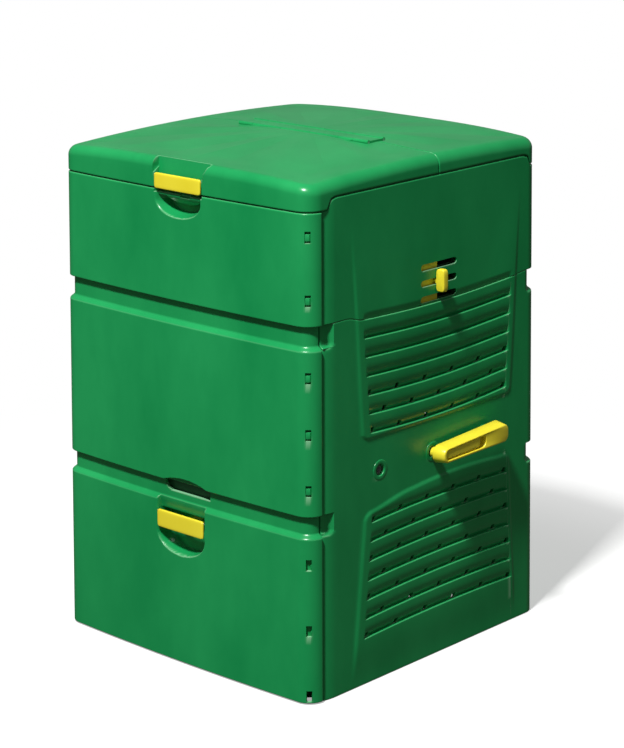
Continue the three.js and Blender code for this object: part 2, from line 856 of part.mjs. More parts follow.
function upperSide() {
  const plainFoot = upperBand.top - jointDepth;
  let panel = bandedSide({
    foot: upperBand.top - ledgeThickness, plainFoot, top: sideWallTop, bands: [],
    hasLedge: true, hasRim: true,
  });
  panel = panel.add(cornerFlange(upperBand.top + flangeMargin, frontWallTop - flangeMargin));
  const recess = onRight(prismAlongX(upperRecess(), [-recessDepth, overrun]));
  panel = panel.subtract(recess);
  const lip = ribLine(upperRibs, 0);
  panel = panel.subtract(onRight(scoopCut(lip, topScoopDepth, upperRibs.height * topScoopShare)));
  for (let index = 0; index < slideSlots.count; index += 1) {
    panel = panel.subtract(onRight(slideSlot(index)));
  }
  const above = [...sideEdgeLine(lidFoot - frontWallTop), [wallDepth, frontWallTop],
    [wallDepth, lidCrown], [-wallDepth, lidCrown], [-wallDepth, frontWallTop]];
  panel = panel.subtract(onRight(prismAlongX(above, [-rimInset, overrun])));
  const rearCorner = block([0, farAway], [rearStep.low, farAway], [frontWallTop, lidCrown]);
  panel = panel.subtract(plainShell(frontWallTop, lidCrown, -overrun, rimInset).intersect(rearCorner));
  panel = panel.subtract(seamBevel(upperBand.top - bandFootRise, frontWallTop));
  const shoe = block(
    [halfWidthAt(beamTop) - rimInset - rimThickness - shoeReach, halfWidthAt(beamTop) - wallThickness / 2],
    [seamLine - shoeLength / 2, seamLine + shoeLength / 2],
    [beamTop - beamHeight - shoeThickness, beamTop - beamHeight - fitGap],
  );
  panel = panel.add(shoe);
  return panel.subtract(belowJoint(0));
}

// Lid halves

function lidTopAt(x, y) {
  const across = Math.min(1, Math.abs(x) / halfWidthAt(lidCrown));
  const along = Math.min(1, Math.abs(y - seamLine) / halfDepthAt(lidCrown));
  return lidCrown - lidSideFall * across ** 3 - lidFrontFall * along ** 2;
}

// The lid's skin: up the skirt, round the edge, then over the top in rings drawn in to the crown
function lidSkin(offset, foot, edgeSteps, ringShares) {
  const edge = lidEdgeRadius - offset;
  const rings = [planOutline(foot, offset, lidSideSteps)];
  for (let step = 0; step <= edgeSteps; step += 1) {
    const angle = (step / edgeSteps) * (Math.PI / 2);
    const inset = offset + edge * (1 - Math.cos(angle));
    const ring = planOutline(lidSideFoot, inset, lidSideSteps);
    ring.forEach((point) => {
      point.z = lidTopAt(point.x, point.y) - offset - edge * (1 - Math.sin(angle));
    });
    rings.push(ring);
  }
  const rim = rings[rings.length - 1];
  ringShares.forEach((share) => {
    rings.push(rim.map((point) => {
      const x = point.x * share;
      const y = seamLine + (point.y - seamLine) * share;
      return new THREE.Vector3(x, y, lidTopAt(x, y) - offset);
    }));
  });
  return ringSolid(rings, seenAlongZ);
}

// The recess of the lid latch, as [y, z] points from the outer face inwards
function lidLatchRoom(grow) {
  const front = -overrun - latchProud;
  const back = latchRoom + grow;
  const top = lidCrown + lap;
  return [
    [front, lidFoot - overrun], [back, lidFoot - overrun], [back, lidLatch.high],
    [back + thumbRecess.fallShare * (top - lidLatch.high), top], [front, top],
  ];
}

function latchBounds(latch, over) {
  return [latchCentre - latch.width / 2 - over, latchCentre + latch.width / 2 + over];
}

function lidHousingSpan() {
  const [left, right] = latchBounds(lidLatch, latchSideGap);
  return [left - latchCheek, right + latchCheek + thumbRecess.rightOver];
}

function latchAxis(latch) {
  const z = latch.high - latchAxisDrop;
  return { y: latchAxisInset - halfDepthAt(z) - wallBow, z };
}

function lidHinge(side) {
  return seamLine + (side * hingeSpacing) / 2;
}

// Barrels of one hinge line: even ones belong to the strip, odd ones to the lid
function hingeBarrels(side, onLid) {
  const y = lidHinge(side);
  const pitch = hingeLength / hingeCount;
  const reach = onLid ? side * hingeWebLap : -side * hingeWebLap;
  const solids = [];
  for (let index = onLid ? 1 : 0; index < hingeCount; index += 2) {
    const start = -hingeLength / 2 + index * pitch + runningGap / 2;
    const end = start + pitch - runningGap;
    const web = block(
      [start, end], [Math.min(y, y + reach), Math.max(y, y + reach)],
      [hingeHeight - hingeBarrel, hingeHeight + 1],
    );
    solids.push(rodAlongX(hingeBarrel, [start, end], y, hingeHeight), web);
  }
  return joined(...solids);
}

function hingeBoreCut(side) {
  const ends = [-hingeLength / 2 - overrun, hingeLength / 2 + overrun];
  return rodAlongX(hingeBore, ends, lidHinge(side), hingeHeight);
}

// One lid half; side is -1 for the front and 1 for the rear
function lidHalf(side) {
  const skin = lidSkin(0, lidFoot, lidEdgeSteps, lidRingShares);
  const hollow = lidSkin(lidThickness, lidFoot - overrun, lidInnerSteps, lidRingShares.slice(0, 2));
  let lid = skin.subtract(hollow);
  const [left, right] = latchBounds(lidLatch, latchSideGap);
  const [wallLeft, wallRight] = lidHousingSpan();
  let housing = onFront(prismAlongX(lidLatchRoom(latchBackWall), [wallLeft, wallRight]));
  let room = onFront(prismAlongX(lidLatchRoom(0), [left, right]));
  const thumbSpan = [left - thumbRecess.leftOver, wallRight - latchCheek];
  let thumbCut = onFront(prismAlongX(lidLatchRoom(0), thumbSpan).intersect(block(
    thumbSpan, [-farAway, farAway], [lidLatch.high + lap, lidCrown + overrun],
  )));
  const axis = latchAxis(lidLatch);
  let pinHole = rodAlongX(
    latchBore, [left - latchPinReach - fitGap, right + latchPinReach + fitGap], axis.y, axis.z,
  );
  if (side > 0) {
    [housing, room, thumbCut, pinHole] = [housing, room, thumbCut, pinHole].map(mirroredY);
  }
  lid = lid.add(housing.intersect(skin)).subtract(room).subtract(thumbCut).subtract(pinHole);
  const under = lidFoot - overrun;
  const sideCut = [...sideEdgeLine(0), [rearStep.low, under], [frontStep.low, under]];
  lid = lid.subtract(prismAlongX(sideCut, [-wallWidth, wallWidth]));
  const seam = seamLine + (side * lidSeamGap) / 2;
  const half = side < 0 ? [-farAway, seam] : [seam, farAway];
  lid = lid.intersect(block([-farAway, farAway], half, [lidFoot - overrun, lidCrown + overrun]));
  const hinge = lidHinge(side);
  const stripEdge = hinge + side * hingeWeb;
  lid = lid.subtract(block(
    [-hingeLength / 2 - runningGap, hingeLength / 2 + runningGap],
    [Math.min(stripEdge, seam - side * overrun), Math.max(stripEdge, seam - side * overrun)],
    [lidFoot - overrun, lidCrown + overrun],
  ));
  const swing = hingeHeight - sideWallTop - lap;
  const corner = block(
    [-farAway, farAway], [Math.min(hinge, seam), Math.max(hinge, seam)], [lidFoot, hingeHeight],
  );
  const round = rodAlongX(swing, [-farAway, farAway], hinge, hingeHeight, swingSides);
  lid = lid.subtract(corner.subtract(round));
  return lid.add(hingeBarrels(side, true)).subtract(hingeBoreCut(side));
}

function hingeBridge() {
  const beamEnd = halfWidthAt(beamTop - beamHeight) - rimInset - rimThickness - runningGap
    - wallLeanShare * beamHeight;
  const half = beamWidth / 2;
  const beam = block(
    [-beamEnd, beamEnd], [seamLine - half, seamLine + half], [beamTop - beamHeight, beamTop],
  );
  const beamHollow = block(
    [-beamEnd - overrun, beamEnd + overrun],
    [seamLine - half + beamThickness, seamLine + half - beamThickness],
    [beamTop - beamHeight - overrun, beamTop - beamThickness],
  );
  const long = hingeLength / 2 - pedestalMargin;
  const wide = pedestalWidth / 2;
  const stripLow = lidCrown - stripThickness;
  const pedestal = block(
    [-long, long], [seamLine - wide, seamLine + wide], [beamTop - beamThickness, stripLow + lap],
  );
  const pedestalHollow = block(
    [beamThickness - long, long - beamThickness],
    [seamLine - wide + beamThickness, seamLine + wide - beamThickness],
    [beamTop - 2 * beamThickness, stripLow],
  );
  const inner = hingeSpacing / 2 - hingeWeb;
  const strip = block(
    [-hingeLength / 2, hingeLength / 2], [seamLine - inner, seamLine + inner],
    [stripLow, lidCrown],
  );
  const solid = joined(beam.subtract(beamHollow), pedestal, strip).subtract(pedestalHollow);
  return [-1, 1].reduce((sum, side) => (
    sum.add(hingeBarrels(side, false)).subtract(hingeBoreCut(side))
  ), solid);
}

// Latches, drawn with their outer face at 0 on the upright front wall

function latchBar(latch) {
  const [left, right] = latchBounds(latch, 0);
  const { edge, bulge, reach } = latchRounding;
  const { low, high } = latch;
  const mid = (low + high) / 2;
  const back = latchThickness - latchProud;
  const face = -latchProud;
  const outline = [
    [back, low + bulge], [back, high - bulge], [face + edge, high], [face + bulge, high - reach],
    [face, mid], [face + bulge, low + reach], [face + edge, low],
  ];
  return onFront(prismAlongX(outline, [left, right]));
}

function latchBoreCut(latch) {
  const axis = latchAxis(latch);
  const [left, right] = latchBounds(latch, overrun);
  return rodAlongX(latchBore, [left, right], axis.y, axis.z);
}

function latchPinRod(latch) {
  const axis = latchAxis(latch);
  const [left, right] = latchBounds(latch, latchSideGap + latchPinReach);
  return rodAlongX(latchPin, [left, right], axis.y, axis.z);
}

// The lid latch has a short nose behind its lower edge
function lidLatchBar() {
  const root = latchThickness - latchProud - lap;
  const outline = [[root, nose.low], [nose.tip, nose.low], [nose.tip, nose.high], [root, nose.high]];
  const sides = [nose.centre - nose.width / 2, nose.centre + nose.width / 2];
  const bar = joined(latchBar(lidLatch), onFront(prismAlongX(outline, sides)));
  return bar.subtract(latchBoreCut(lidLatch));
}

// The door latch has an arm through the back of its recess, with a raised end
function doorLatchBar() {
  const root = latchThickness - latchProud - lap;
  const heel = arm.tip - arm.tipLength;
  const outline = [
    [root, arm.low], [arm.tip, arm.low], [arm.tip, arm.tipHeight], [heel, arm.tipHeight],
    [heel, arm.high], [root, arm.high],
  ];
  const sides = [latchCentre - arm.width / 2, latchCentre + arm.width / 2];
  const bar = joined(latchBar(doorLatch), onFront(prismAlongX(outline, sides)));
  return bar.subtract(latchBoreCut(doorLatch));
}

// A finger recess: straight above, half round below, drawn in towards its floor
function fingerRecess({ width, low, depth, floorShare }, bowl, high, grow, deeper) {
  const ringAt = (y, share) => {
    const half = (width / 2) * share + grow;
    const drop = (bowl - low) * share + grow;
    const points = [[half, high + grow], [-half, high + grow]];
    for (let step = 0; step <= 2 * cornerSteps; step += 1) {
      const angle = Math.PI * (1 + step / (2 * cornerSteps));
      points.push([half * Math.cos(angle), drop * Math.sin(angle) + bowl]);
    }
    return points.map(([x, z]) => new THREE.Vector3(latchCentre + x, y, z));
  };
  const outerShare = 1 + ((1 - floorShare) * overrun) / depth;
  const rings = [ringAt(-overrun, outerShare), ringAt(depth + deeper, floorShare)];
  return onFront(ringSolid(rings, seenAlongY));
}

// Front wall tiers

function frontZone() {
  return leaningBox([-farAway, farAway], [-farAway, frontSeamAt], tall);
}

function rearZone() {
  return leaningBox([(z) => fitGap - cornerXAt(z), (z) => cornerXAt(z) - fitGap], [0, farAway], tall);
}

function withHookSlots(panel, hooks) {
  const right = hookSlots(hooks);
  return panel.subtract(right).subtract(turnedToLeft(right));
}

// The cuts that leave a ledge with a slot over the finger recess
function topPanelCuts() {
  const [left, right] = latchBounds(lidLatch, latchSideGap);
  const above = frontWallTop + rimHeight + overrun;
  const through = [ledge.low - lap, ledge.high + lap];
  const open = onFront(block([left, right], [-overrun, lidCavity.depth], [ledge.high, above]));
  const lip = onFront(block([left, right], [-overrun, ledge.front], through));
  const slot = onFront(block(
    [nose.centre - ledgeSlot.width / 2, nose.centre + ledgeSlot.width / 2],
    [ledgeSlot.front, ledgeSlot.back], through,
  ));
  const [housingLeft, housingRight] = lidHousingSpan();
  const rimCut = onFront(block(
    [housingLeft - lap, housingRight + lap], [-overrun, latchRoom + latchBackWall + 2 * lap],
    [(frontWallTop + lidFoot) / 2, above],
  ));
  return joined(open, lip, slot, rimCut);
}

// A plate on the ledge, with a window for the nose of the lid latch
function lidStrike() {
  const { width, thickness, high, rim } = strikePlate;
  const front = nose.tip + strikeGap;
  const half = width / 2;
  const plate = block([-half, half], [front, front + thickness], [ledge.high - lap, high]);
  const window = block(
    [rim - half, half - rim], [front - overrun, front + thickness + overrun],
    [ledge.high + 2 * rim, high - rim],
  );
  return onFront(plate.subtract(window).translate([nose.centre, 0, 0]));
}

function topPanel(zone) {
  const shell = tierShell({ foot: upperBand.top, top: frontWallTop, hasLedge: true, hasRim: true });
  const skin = lidCavity.skin;
  const { bowl } = lidCavity;
  let housing = fingerRecess(lidCavity, bowl, frontWallTop, skin, skin);
  const [left, right] = latchBounds(lidLatch, latchSideGap + skin);
  const back = onFront(block(
    [left, right], [rimInset, lidCavity.depth + skin], [bowl, frontWallTop + rimHeight],
  ));
  const inside = wallLoft([[upperBand.top, 1], [frontWallTop, 1], [frontWallTop, rimInset],
    [frontWallTop + rimHeight, rimInset]]);
  housing = joined(housing, back).intersect(inside);
  const cut = fingerRecess(lidCavity, bowl, ledge.low, 0, 0);
  return { shell: shell.intersect(zone), housing, cut: joined(cut, topPanelCuts()) };
}

function frontTopPanel() {
  const { shell, housing, cut } = topPanel(frontZone());
  return withHookSlots(shell.add(housing).subtract(cut).add(lidStrike()), topHooks);
}

function rearTopPanel() {
  const { shell, housing, cut } = topPanel(rearZone());
  return shell.add(mirroredY(housing)).subtract(mirroredY(cut)).add(mirroredY(lidStrike()));
}

// The arch over the hatch, in the foot of the middle tier
function hatchArch(depth) {
  const half = hatch.width / 2;
  const points = [[half, lowerBand.top - overrun], [half, lowerBand.top]];
  for (let step = 1; step < stepPoints; step += 1) {
    const share = 1 - (2 * step) / stepPoints;
    points.push([half * share, lowerBand.top + hatch.bulge * (1 - share * share)]);
  }
  points.push([-half, lowerBand.top], [-half, lowerBand.top - overrun]);
  const placed = points.map(([x, z]) => [x + hatch.centre, z]);
  return onFront(prismAlongY(placed, [-overrun, depth]));
}

function middlePanel(zone) {
  const shell = tierShell({
    foot: lowerBand.top, top: upperBand.top - fitGap,
    hasLedge: true, bands: [{ foot: upperBand.foot, top: upperBand.top }],
  });
  return shell.intersect(zone);
}

// The hook for the door latch: a braced plate that hangs down behind the door
function latchHook() {
  const { width, front, thickness, drop, brace } = doorHook;
  const foot = arm.tipHeight + drop;
  const root = bandInset - lap;
  const outline = [
    [root, lowerBand.top], [front - brace, lowerBand.top], [front, lowerBand.top - brace], [front, foot],
    [front + thickness, foot], [front + thickness, lowerBand.top + ledgeThickness],
    [root, lowerBand.top + ledgeThickness],
  ];
  return onFront(prismAlongX(outline, [latchCentre - width / 2, latchCentre + width / 2]));
}

function frontMiddlePanel() {
  const panel = middlePanel(frontZone()).subtract(hatchArch(hatch.depth)).add(latchHook());
  return withHookSlots(panel, middleHooks);
}

function rearMiddlePanel() {
  return middlePanel(rearZone()).subtract(mirroredY(hatchArch(hatch.depth))).add(mirroredY(latchHook()));
}

function doorAxis() {
  return { y: doorAxisInset - halfDepthAt(doorAxisHeight) - wallBow, z: doorAxisHeight };
}

function lugSpans() {
  const reach = doorKnuckleLength / 2;
  return [-1, 1].flatMap((side) => {
    const centre = side * doorKnuckleOffset;
    return [
      [centre - reach - runningGap - doorLugThickness, centre - reach - runningGap],
      [centre + reach + runningGap, centre + reach + runningGap + doorLugThickness],
    ];
  });
}

function boreSpan() {
  const reach = doorKnuckleOffset + doorKnuckleLength;
  return [-reach, reach];
}

function doorPanel(zone, flip) {
  const top = lowerBand.top - doorGap;
  const shell = tierShell({ foot: doorFoot, top, bands: [{ foot: lowerBand.foot, top: lowerBand.top }] });
  let door = shell.intersect(zone);
  const skin = lidCavity.skin;
  const { bowl, high } = doorCavity;
  const inside = wallLoft([[doorFoot, 1], [lowerBand.foot, 1], [lowerBand.foot + bandFootRise, bandDepth],
    [top, bandDepth]]);
  const housing = fingerRecess(doorCavity, bowl, high, skin, skin).intersect(inside);
  const cavity = fingerRecess(doorCavity, bowl, high, 0, 0);
  const slotReach = arm.width / 2 + armSlot.side;
  const slot = onFront(block(
    [latchCentre - slotReach, latchCentre + slotReach],
    [doorCavity.depth - lap, doorCavity.depth + skin + lap], [armSlot.low, armSlot.high],
  ));
  const window = onFront(block(
    [hatch.centre - hatch.width / 2, hatch.centre + hatch.width / 2],
    [-overrun, bandInset + lap], [hatch.low, top + overrun],
  ));
  const axis = latchAxis(doorLatch);
  const [pinLeft, pinRight] = latchBounds(doorLatch, latchSideGap + latchPinReach + fitGap);
  const cheekOuter = latchBounds(doorLatch, latchSideGap + latchCheek);
  const cheekInner = latchBounds(doorLatch, latchSideGap);
  const cheekTop = doorLatch.high + cheekRise;
  const cheek = onFront(block(cheekOuter, [lap, latchRoom], [doorLatch.low, cheekTop]));
  const cheekCut = onFront(block(cheekInner, [-overrun, latchRoom + lap], [bowl, cheekTop + lap]));
  const pinHole = rodAlongX(latchBore, [pinLeft, pinRight], axis.y, axis.z);
  const knuckles = [-1, 1].map((side) => rodAlongX(
    doorKnuckle,
    [side * doorKnuckleOffset - doorKnuckleLength / 2, side * doorKnuckleOffset + doorKnuckleLength / 2],
    doorAxis().y, doorAxis().z, roundSides,
  ));
  const bore = rodAlongX(doorBore, boreSpan(), doorAxis().y, doorAxis().z);
  const lugRooms = lugSpans().map(([xLow, xHigh]) => block(
    [xLow - runningGap, xHigh + runningGap],
    [doorAxis().y - doorLug - runningGap, doorAxis().y + farAway],
    [-overrun, doorAxis().z + doorLug + runningGap],
  ));
  const turn = (solid) => (flip ? mirroredY(solid) : solid);
  door = joined(door, turn(joined(housing, ...knuckles)));
  door = door.subtract(turn(joined(cavity, slot, window)));
  door = door.add(turn(cheek.subtract(cheekCut)));
  return door.subtract(turn(joined(pinHole, bore, ...lugRooms)));
}

function frontDoor() {
  return withHookSlots(doorPanel(frontZone(), false), doorHooks);
}

function rearDoor() {
  return doorPanel(rearZone(), true);
}

function doorPinRod(side, flip) {
  const reach = doorKnuckleLength / 2 + runningGap + doorLugThickness;
  const rod = rodAlongX(
    doorPin, [side * doorKnuckleOffset - reach, side * doorKnuckleOffset + reach],
    doorAxis().y, doorAxis().z,
  );
  return flip ? mirroredY(rod) : rod;
}

// Base grid with the door's hinge lugs and a tab to each side

function baseGrid() {
  const halfX = halfWidthAt(0) - baseInset;
  const halfY = halfDepthAt(0) - baseInset;
  let base = block([-halfX, halfX], [-halfY, halfY], [0, baseHeight]);
  const corner = cornerRadius + baseInset;
  const clip = [[halfX, corner - halfY], [halfX, halfY - corner], [halfX - corner, halfY],
    [corner - halfX, halfY], [-halfX, halfY - corner], [-halfX, corner - halfY],
    [corner - halfX, -halfY], [halfX - corner, -halfY]];
  base = base.intersect(prismAlongZ(clip, [0, baseHeight]));
  const inX = halfX - baseRing;
  const inY = halfY - baseRing;
  const pitch = (2 * inY) / baseBars;
  const bar = pitch * baseBarShare;
  for (let row = 0; row < baseBars; row += 1) {
    const y = -inY + row * pitch + bar / 2;
    [[-inX, -baseRing / 2], [baseRing / 2, inX]].forEach((span) => {
      base = base.subtract(block(span, [y, y + pitch - bar], [-overrun, baseHeight + overrun]));
    });
  }
  const tabs = [];
  [-1, 1].forEach((side) => {
    const reach = side * (halfWidthAt(baseHeight) - wallThickness - fitGap);
    const root = side * (halfX - baseRing / 2);
    [-baseTabOffset, baseTabOffset].forEach((y) => tabs.push(block(
      [Math.min(reach, root), Math.max(reach, root)],
      [y - baseTabLength / 2, y + baseTabLength / 2], [0, baseHeight],
    )));
  });
  const axis = doorAxis();
  const lugs = lugSpans().flatMap((span) => {
    const eye = rodAlongX(doorLug, span, axis.y, axis.z);
    const limb = block(
      span, [axis.y, -halfY + baseRing / 2], [axis.z - doorLug / 2, axis.z + doorLug / 2],
    );
    const lug = joined(eye, limb);
    return [lug, mirroredY(lug)];
  });
  const bore = rodAlongX(doorBore, boreSpan(), axis.y, axis.z);
  return joined(base, ...tabs, ...lugs).subtract(bore).subtract(mirroredY(bore));
}

// Air slide

function slideSpan() {
  return [slideEnd - slideLength, slideEnd];
}

function slidePlate() {
  const [front, rear] = slideSpan();
  const inner = -wallThickness - runningGap;
  const low = slideSlots.low - slideSlots.height / 2 - slideCover;
  const high = slideSlots.low + 2 * slideSlots.pitch + slideSlots.height / 2 + slideCover;
  return onRight(block([inner - slideThickness, inner], [front, rear], [low, high]));
}

// The knob is an upright fin with rounded outer corners, on a stem through the middle slot
function knobSolid() {
  const { width, height, proud, low, rounding, taper } = knob;
  const centre = slideEnd - width / 2;
  const ringAt = (half) => {
    const points = [[runningGap, low], [proud - rounding, low]];
    const corners = [[low + rounding, -1], [low + height - rounding, 1]];
    corners.forEach(([z, side]) => {
      for (let step = 0; step < cornerSteps; step += 1) {
        const angle = ((side < 0 ? step + 1 - cornerSteps : step) / cornerSteps) * (Math.PI / 2);
        points.push([proud - rounding + rounding * Math.cos(angle), z + rounding * Math.sin(angle)]);
      }
    });
    points.push([proud - rounding, low + height], [runningGap, low + height]);
    return points.map(([out, z]) => new THREE.Vector3(
      out, centre + half * (1 - (taper * out) / (proud * width)), z,
    ));
  };
  const head = ringSolid([ringAt(-width / 2), ringAt(width / 2)], seenAlongY);
  const middle = slideSlots.low + slideSlots.pitch;
  const stem = block(
    [fitGap - wallThickness - runningGap, runningGap + lap],
    [centre - knobStem.width / 2, centre + knobStem.width / 2],
    [middle - knobStem.height / 2, middle + knobStem.height / 2],
  );
  return onRight(joined(head, stem));
}

// A channel behind the slide, closed at its ends and open behind the slots
function slideGuide() {
  const [front, rear] = slideSpan();
  const low = slideSlots.low - slideSlots.height / 2 - slideCover;
  const high = slideSlots.low + 2 * slideSlots.pitch + slideSlots.height / 2 + slideCover;
  const face = -wallThickness - fitGap;
  const floor = face - slideThickness - 2 * runningGap;
  const yLow = front - slideTravel.open - guideMargin;
  const yHigh = rear + slideTravel.shut + guideMargin;
  const body = block(
    [floor - guideThickness, face], [yLow - guideThickness, yHigh + guideThickness],
    [low - runningGap - guideThickness, high + runningGap + guideThickness],
  );
  const channel = block([floor, face + overrun], [yLow, yHigh], [low - runningGap, high + runningGap]);
  const windows = [0, 1, 2].map((index) => {
    const z = slideSlots.low + index * slideSlots.pitch;
    return block(
      [floor - guideThickness - overrun, floor + overrun], [slideSlots.front, slideSlots.rear],
      [z - slideSlots.height / 2, z + slideSlots.height / 2],
    );
  });
  return onRight(body.subtract(channel).subtract(joined(...windows)));
}

// Turning floor

function flapReach() {
  return halfWidthAt(floorHeight) - bushLength - 2 * runningGap;
}

function floorFlap(y) {
  const right = flapReach();
  const left = crankX()[1] + runningGap;
  const half = shaftPitch / 2 - 1;
  let flap = block(
    [left, right], [y - half, y + half],
    [floorHeight - flapThickness / 2, floorHeight + flapThickness / 2],
  );
  flap = flap.add(rodAlongX(flapHub, [left, right], y, floorHeight));
  const rim = flapThickness;
  const inner = half - flapHub - 2 * rim;
  const pitch = (right - left - rim) / flapSlots;
  [-1, 1].forEach((side) => {
    const near = y + side * (flapHub + rim);
    const far = near + side * inner;
    for (let slot = 0; slot < flapSlots; slot += 1) {
      const start = left + rim + slot * pitch;
      flap = flap.subtract(block(
        [start, start + pitch - rim], [Math.min(near, far), Math.max(near, far)],
        [floorHeight - crankRadius, floorHeight + crankRadius],
      ));
    }
  });
  return flap.subtract(rodAlongX(shaftRadius + fitGap, [left - overrun, right + overrun], y, floorHeight));
}

function floorShaft(y, rightEnd) {
  const left = -(halfWidthAt(floorHeight) - wallThickness / 2);
  return rodAlongX(shaftRadius, [left, rightEnd], y, floorHeight);
}

function shaftBush(y) {
  const wall = halfWidthAt(floorHeight);
  const outer = shaftRadius + runningGap + bushWall;
  const sleeve = rodAlongX(outer, [wall - bushLength, wall - bushSink], y, floorHeight, roundSides);
  return sleeve.subtract(rodAlongX(
    shaftRadius + fitGap, [wall - bushLength - overrun, wall + overrun], y, floorHeight,
  ));
}

function crankX() {
  const inner = -halfWidthAt(floorHeight) + bushLength + runningGap;
  const start = inner + tieBarThickness + 2 * runningGap;
  return [start, start + crankThickness];
}

function crankEnd(y) {
  const reach = crankRadius * Math.SQRT1_2;
  return { y: y - reach, z: floorHeight - reach };
}

function floorCrank(y) {
  const [low, high] = crankX();
  const end = crankEnd(y);
  const hub = rodAlongX(crankHub, [low, high], y, floorHeight, roundSides);
  const eye = rodAlongX(crankEye, [low, high], end.y, end.z);
  const across = new THREE.Vector2(end.z - floorHeight, y - end.y).normalize();
  const limb = prismAlongX([
    [y + across.x * crankEye, floorHeight + across.y * crankEye],
    [y - across.x * crankEye, floorHeight - across.y * crankEye],
    [end.y - across.x * crankEye, end.z - across.y * crankEye],
    [end.y + across.x * crankEye, end.z + across.y * crankEye],
  ], [low, high]);
  const pin = rodAlongX(crankPin, [low - tieBarThickness - runningGap, low + 1], end.y, end.z);
  return joined(hub, eye, limb, pin)
    .subtract(rodAlongX(shaftRadius + fitGap, [low - overrun, high + overrun], y, floorHeight));
}

function tieBar() {
  const [low] = crankX();
  const ends = shaftPlaces().map(crankEnd);
  const spanX = [low - runningGap - tieBarThickness, low - runningGap];
  const radius = tieBarHeight / 2;
  const bar = block(spanX, [ends[0].y, ends[2].y], [ends[0].z - radius, ends[0].z + radius]);
  const eyes = ends.map((end) => rodAlongX(radius, spanX, end.y, end.z));
  const holes = ends.map((end) => rodAlongX(
    crankPin + runningGap, [spanX[0] - overrun, spanX[1] + overrun], end.y, end.z, roundSides,
  ));
  return joined(bar, ...eyes).subtract(joined(...holes));
}

// Middle height of the sloping ledge, from the flaps' end up to the wall
function shelfHeightAt(side, y) {
  const start = shelfStart(side);
  return floorHeight + shelfFall * (y - start) / (side * halfDepthAt(floorHeight) - start);
}

function shelfStart(side) {
  const places = shaftPlaces();
  return (side < 0 ? places[0] : places[2]) + (side * shaftPitch) / 2 + side * runningGap;
}

// A sloping ledge between the turning floor and the front or rear wall
function floorShelf(side) {
  const flapEnd = shelfStart(side);
  const wallEnd = side * halfDepthAt(floorHeight);
  const high = floorHeight + shelfFall;
  const outline = [
    [flapEnd, floorHeight - shelfThickness], [flapEnd, floorHeight + shelfThickness],
    [wallEnd, high + shelfThickness], [side * farAway, high + shelfThickness],
    [side * farAway, high - shelfThickness], [wallEnd, high - shelfThickness],
  ];
  const reach = flapReach();
  const narrow = cornerXAt(floorHeight) - flangeReach - 2 * lap;
  const clear = halfDepthAt(floorHeight) - bandInset - 2 * lap;
  const inside = wallLoft([[0, wallThickness + lap], [upperBand.foot, wallThickness + lap]]);
  const toWall = prismAlongX(outline, [-narrow, narrow]).intersect(inside);
  const broad = prismAlongX(outline, [-reach, reach]);
  return joined(toWall, broad.intersect(block([-reach, reach], [-clear, clear], [0, lidCrown])));
}

// A bracket on the side that the ledge lies on
function shelfBracket(side) {
  const flapEnd = shelfStart(side) + side * bracketHeight;
  const wallEnd = side * (halfDepthAt(floorHeight) - frontSeamSetback - seamWidth - flangeReach);
  const wall = halfWidthAt(floorHeight);
  const under = shelfThickness + runningGap;
  const foot = floorHeight - under - bracketHeight;
  const outline = [
    [flapEnd, foot], [flapEnd, shelfHeightAt(side, flapEnd) - under],
    [wallEnd, shelfHeightAt(side, wallEnd) - under], [wallEnd, foot],
  ];
  return prismAlongX(outline, [wall - bushLength - shoeReach, wall - wallThickness + 1]);
}

// Lever

// The lever's outline in its outer face, grown by a distance, from the hub round to the tip
function leverOutline(grow) {
  const { halfHeight, taper, chamfer } = leverTip;
  const hub = leverHub + grow;
  const points = [];
  for (let step = 0; step <= 2 * cornerSteps; step += 1) {
    const angle = Math.PI * (1 / 2 + step / (2 * cornerSteps));
    points.push([shaftCentre + hub * Math.cos(angle), floorHeight + hub * Math.sin(angle)]);
  }
  const tip = shaftCentre + leverLength + grow;
  const centre = floorHeight + leverRise;
  const half = halfHeight + grow;
  points.push([tip - taper, centre - half], [tip - chamfer, centre - half + chamfer]);
  points.push([tip, centre], [tip - chamfer, centre + half - chamfer], [tip - taper, centre + half]);
  return points;
}

// Height of the lever's lower or upper edge at a distance from the shaft
function leverEdgeAt(along, side) {
  const share = along / (leverLength - leverTip.taper);
  const centre = floorHeight + leverRise * share;
  return centre + side * (leverHub + (leverTip.halfHeight - leverHub) * share);
}

function leverSolid() {
  const face = halfWidthAt(floorHeight) + leverStandOff;
  const outer = face + leverThickness;
  const ringAt = (x, grow) => leverOutline(grow).map(([y, z]) => new THREE.Vector3(x, y, z));
  const seenAlongX = (point) => new THREE.Vector2(point.y, point.z);
  let lever = ringSolid([ringAt(face, leverDraft), ringAt(outer, 0)], seenAlongX);
  const slab = ({ start, end }, margins, depths) => prismAlongX([
    [shaftCentre + start, leverEdgeAt(start, -1) + margins[0]],
    [shaftCentre + end, leverEdgeAt(end, -1) + margins[0]],
    [shaftCentre + end, leverEdgeAt(end, 1) - margins[1]],
    [shaftCentre + start, leverEdgeAt(start, 1) - margins[1]],
  ], depths);
  const { rim, under, depth } = leverPocket;
  const { gap, sink } = leverRib;
  const pocket = slab(leverPocket, [under, rim], [outer - depth, outer + overrun]);
  const rib = slab(leverRib, [under + gap, rim + gap], [outer - depth - lap, outer - sink]);
  lever = lever.subtract(pocket.subtract(rib));
  const wall = halfWidthAt(floorHeight);
  const collar = rodAlongX(
    shaftRadius + leverCollar, [wall + bossProud + runningGap, face + lap],
    shaftCentre, floorHeight, roundSides,
  );
  const bore = rodAlongX(
    shaftRadius + fitGap, [wall - overrun, outer - depth - shaftEndSkin], shaftCentre, floorHeight,
  );
  return lever.add(collar).subtract(bore);
}

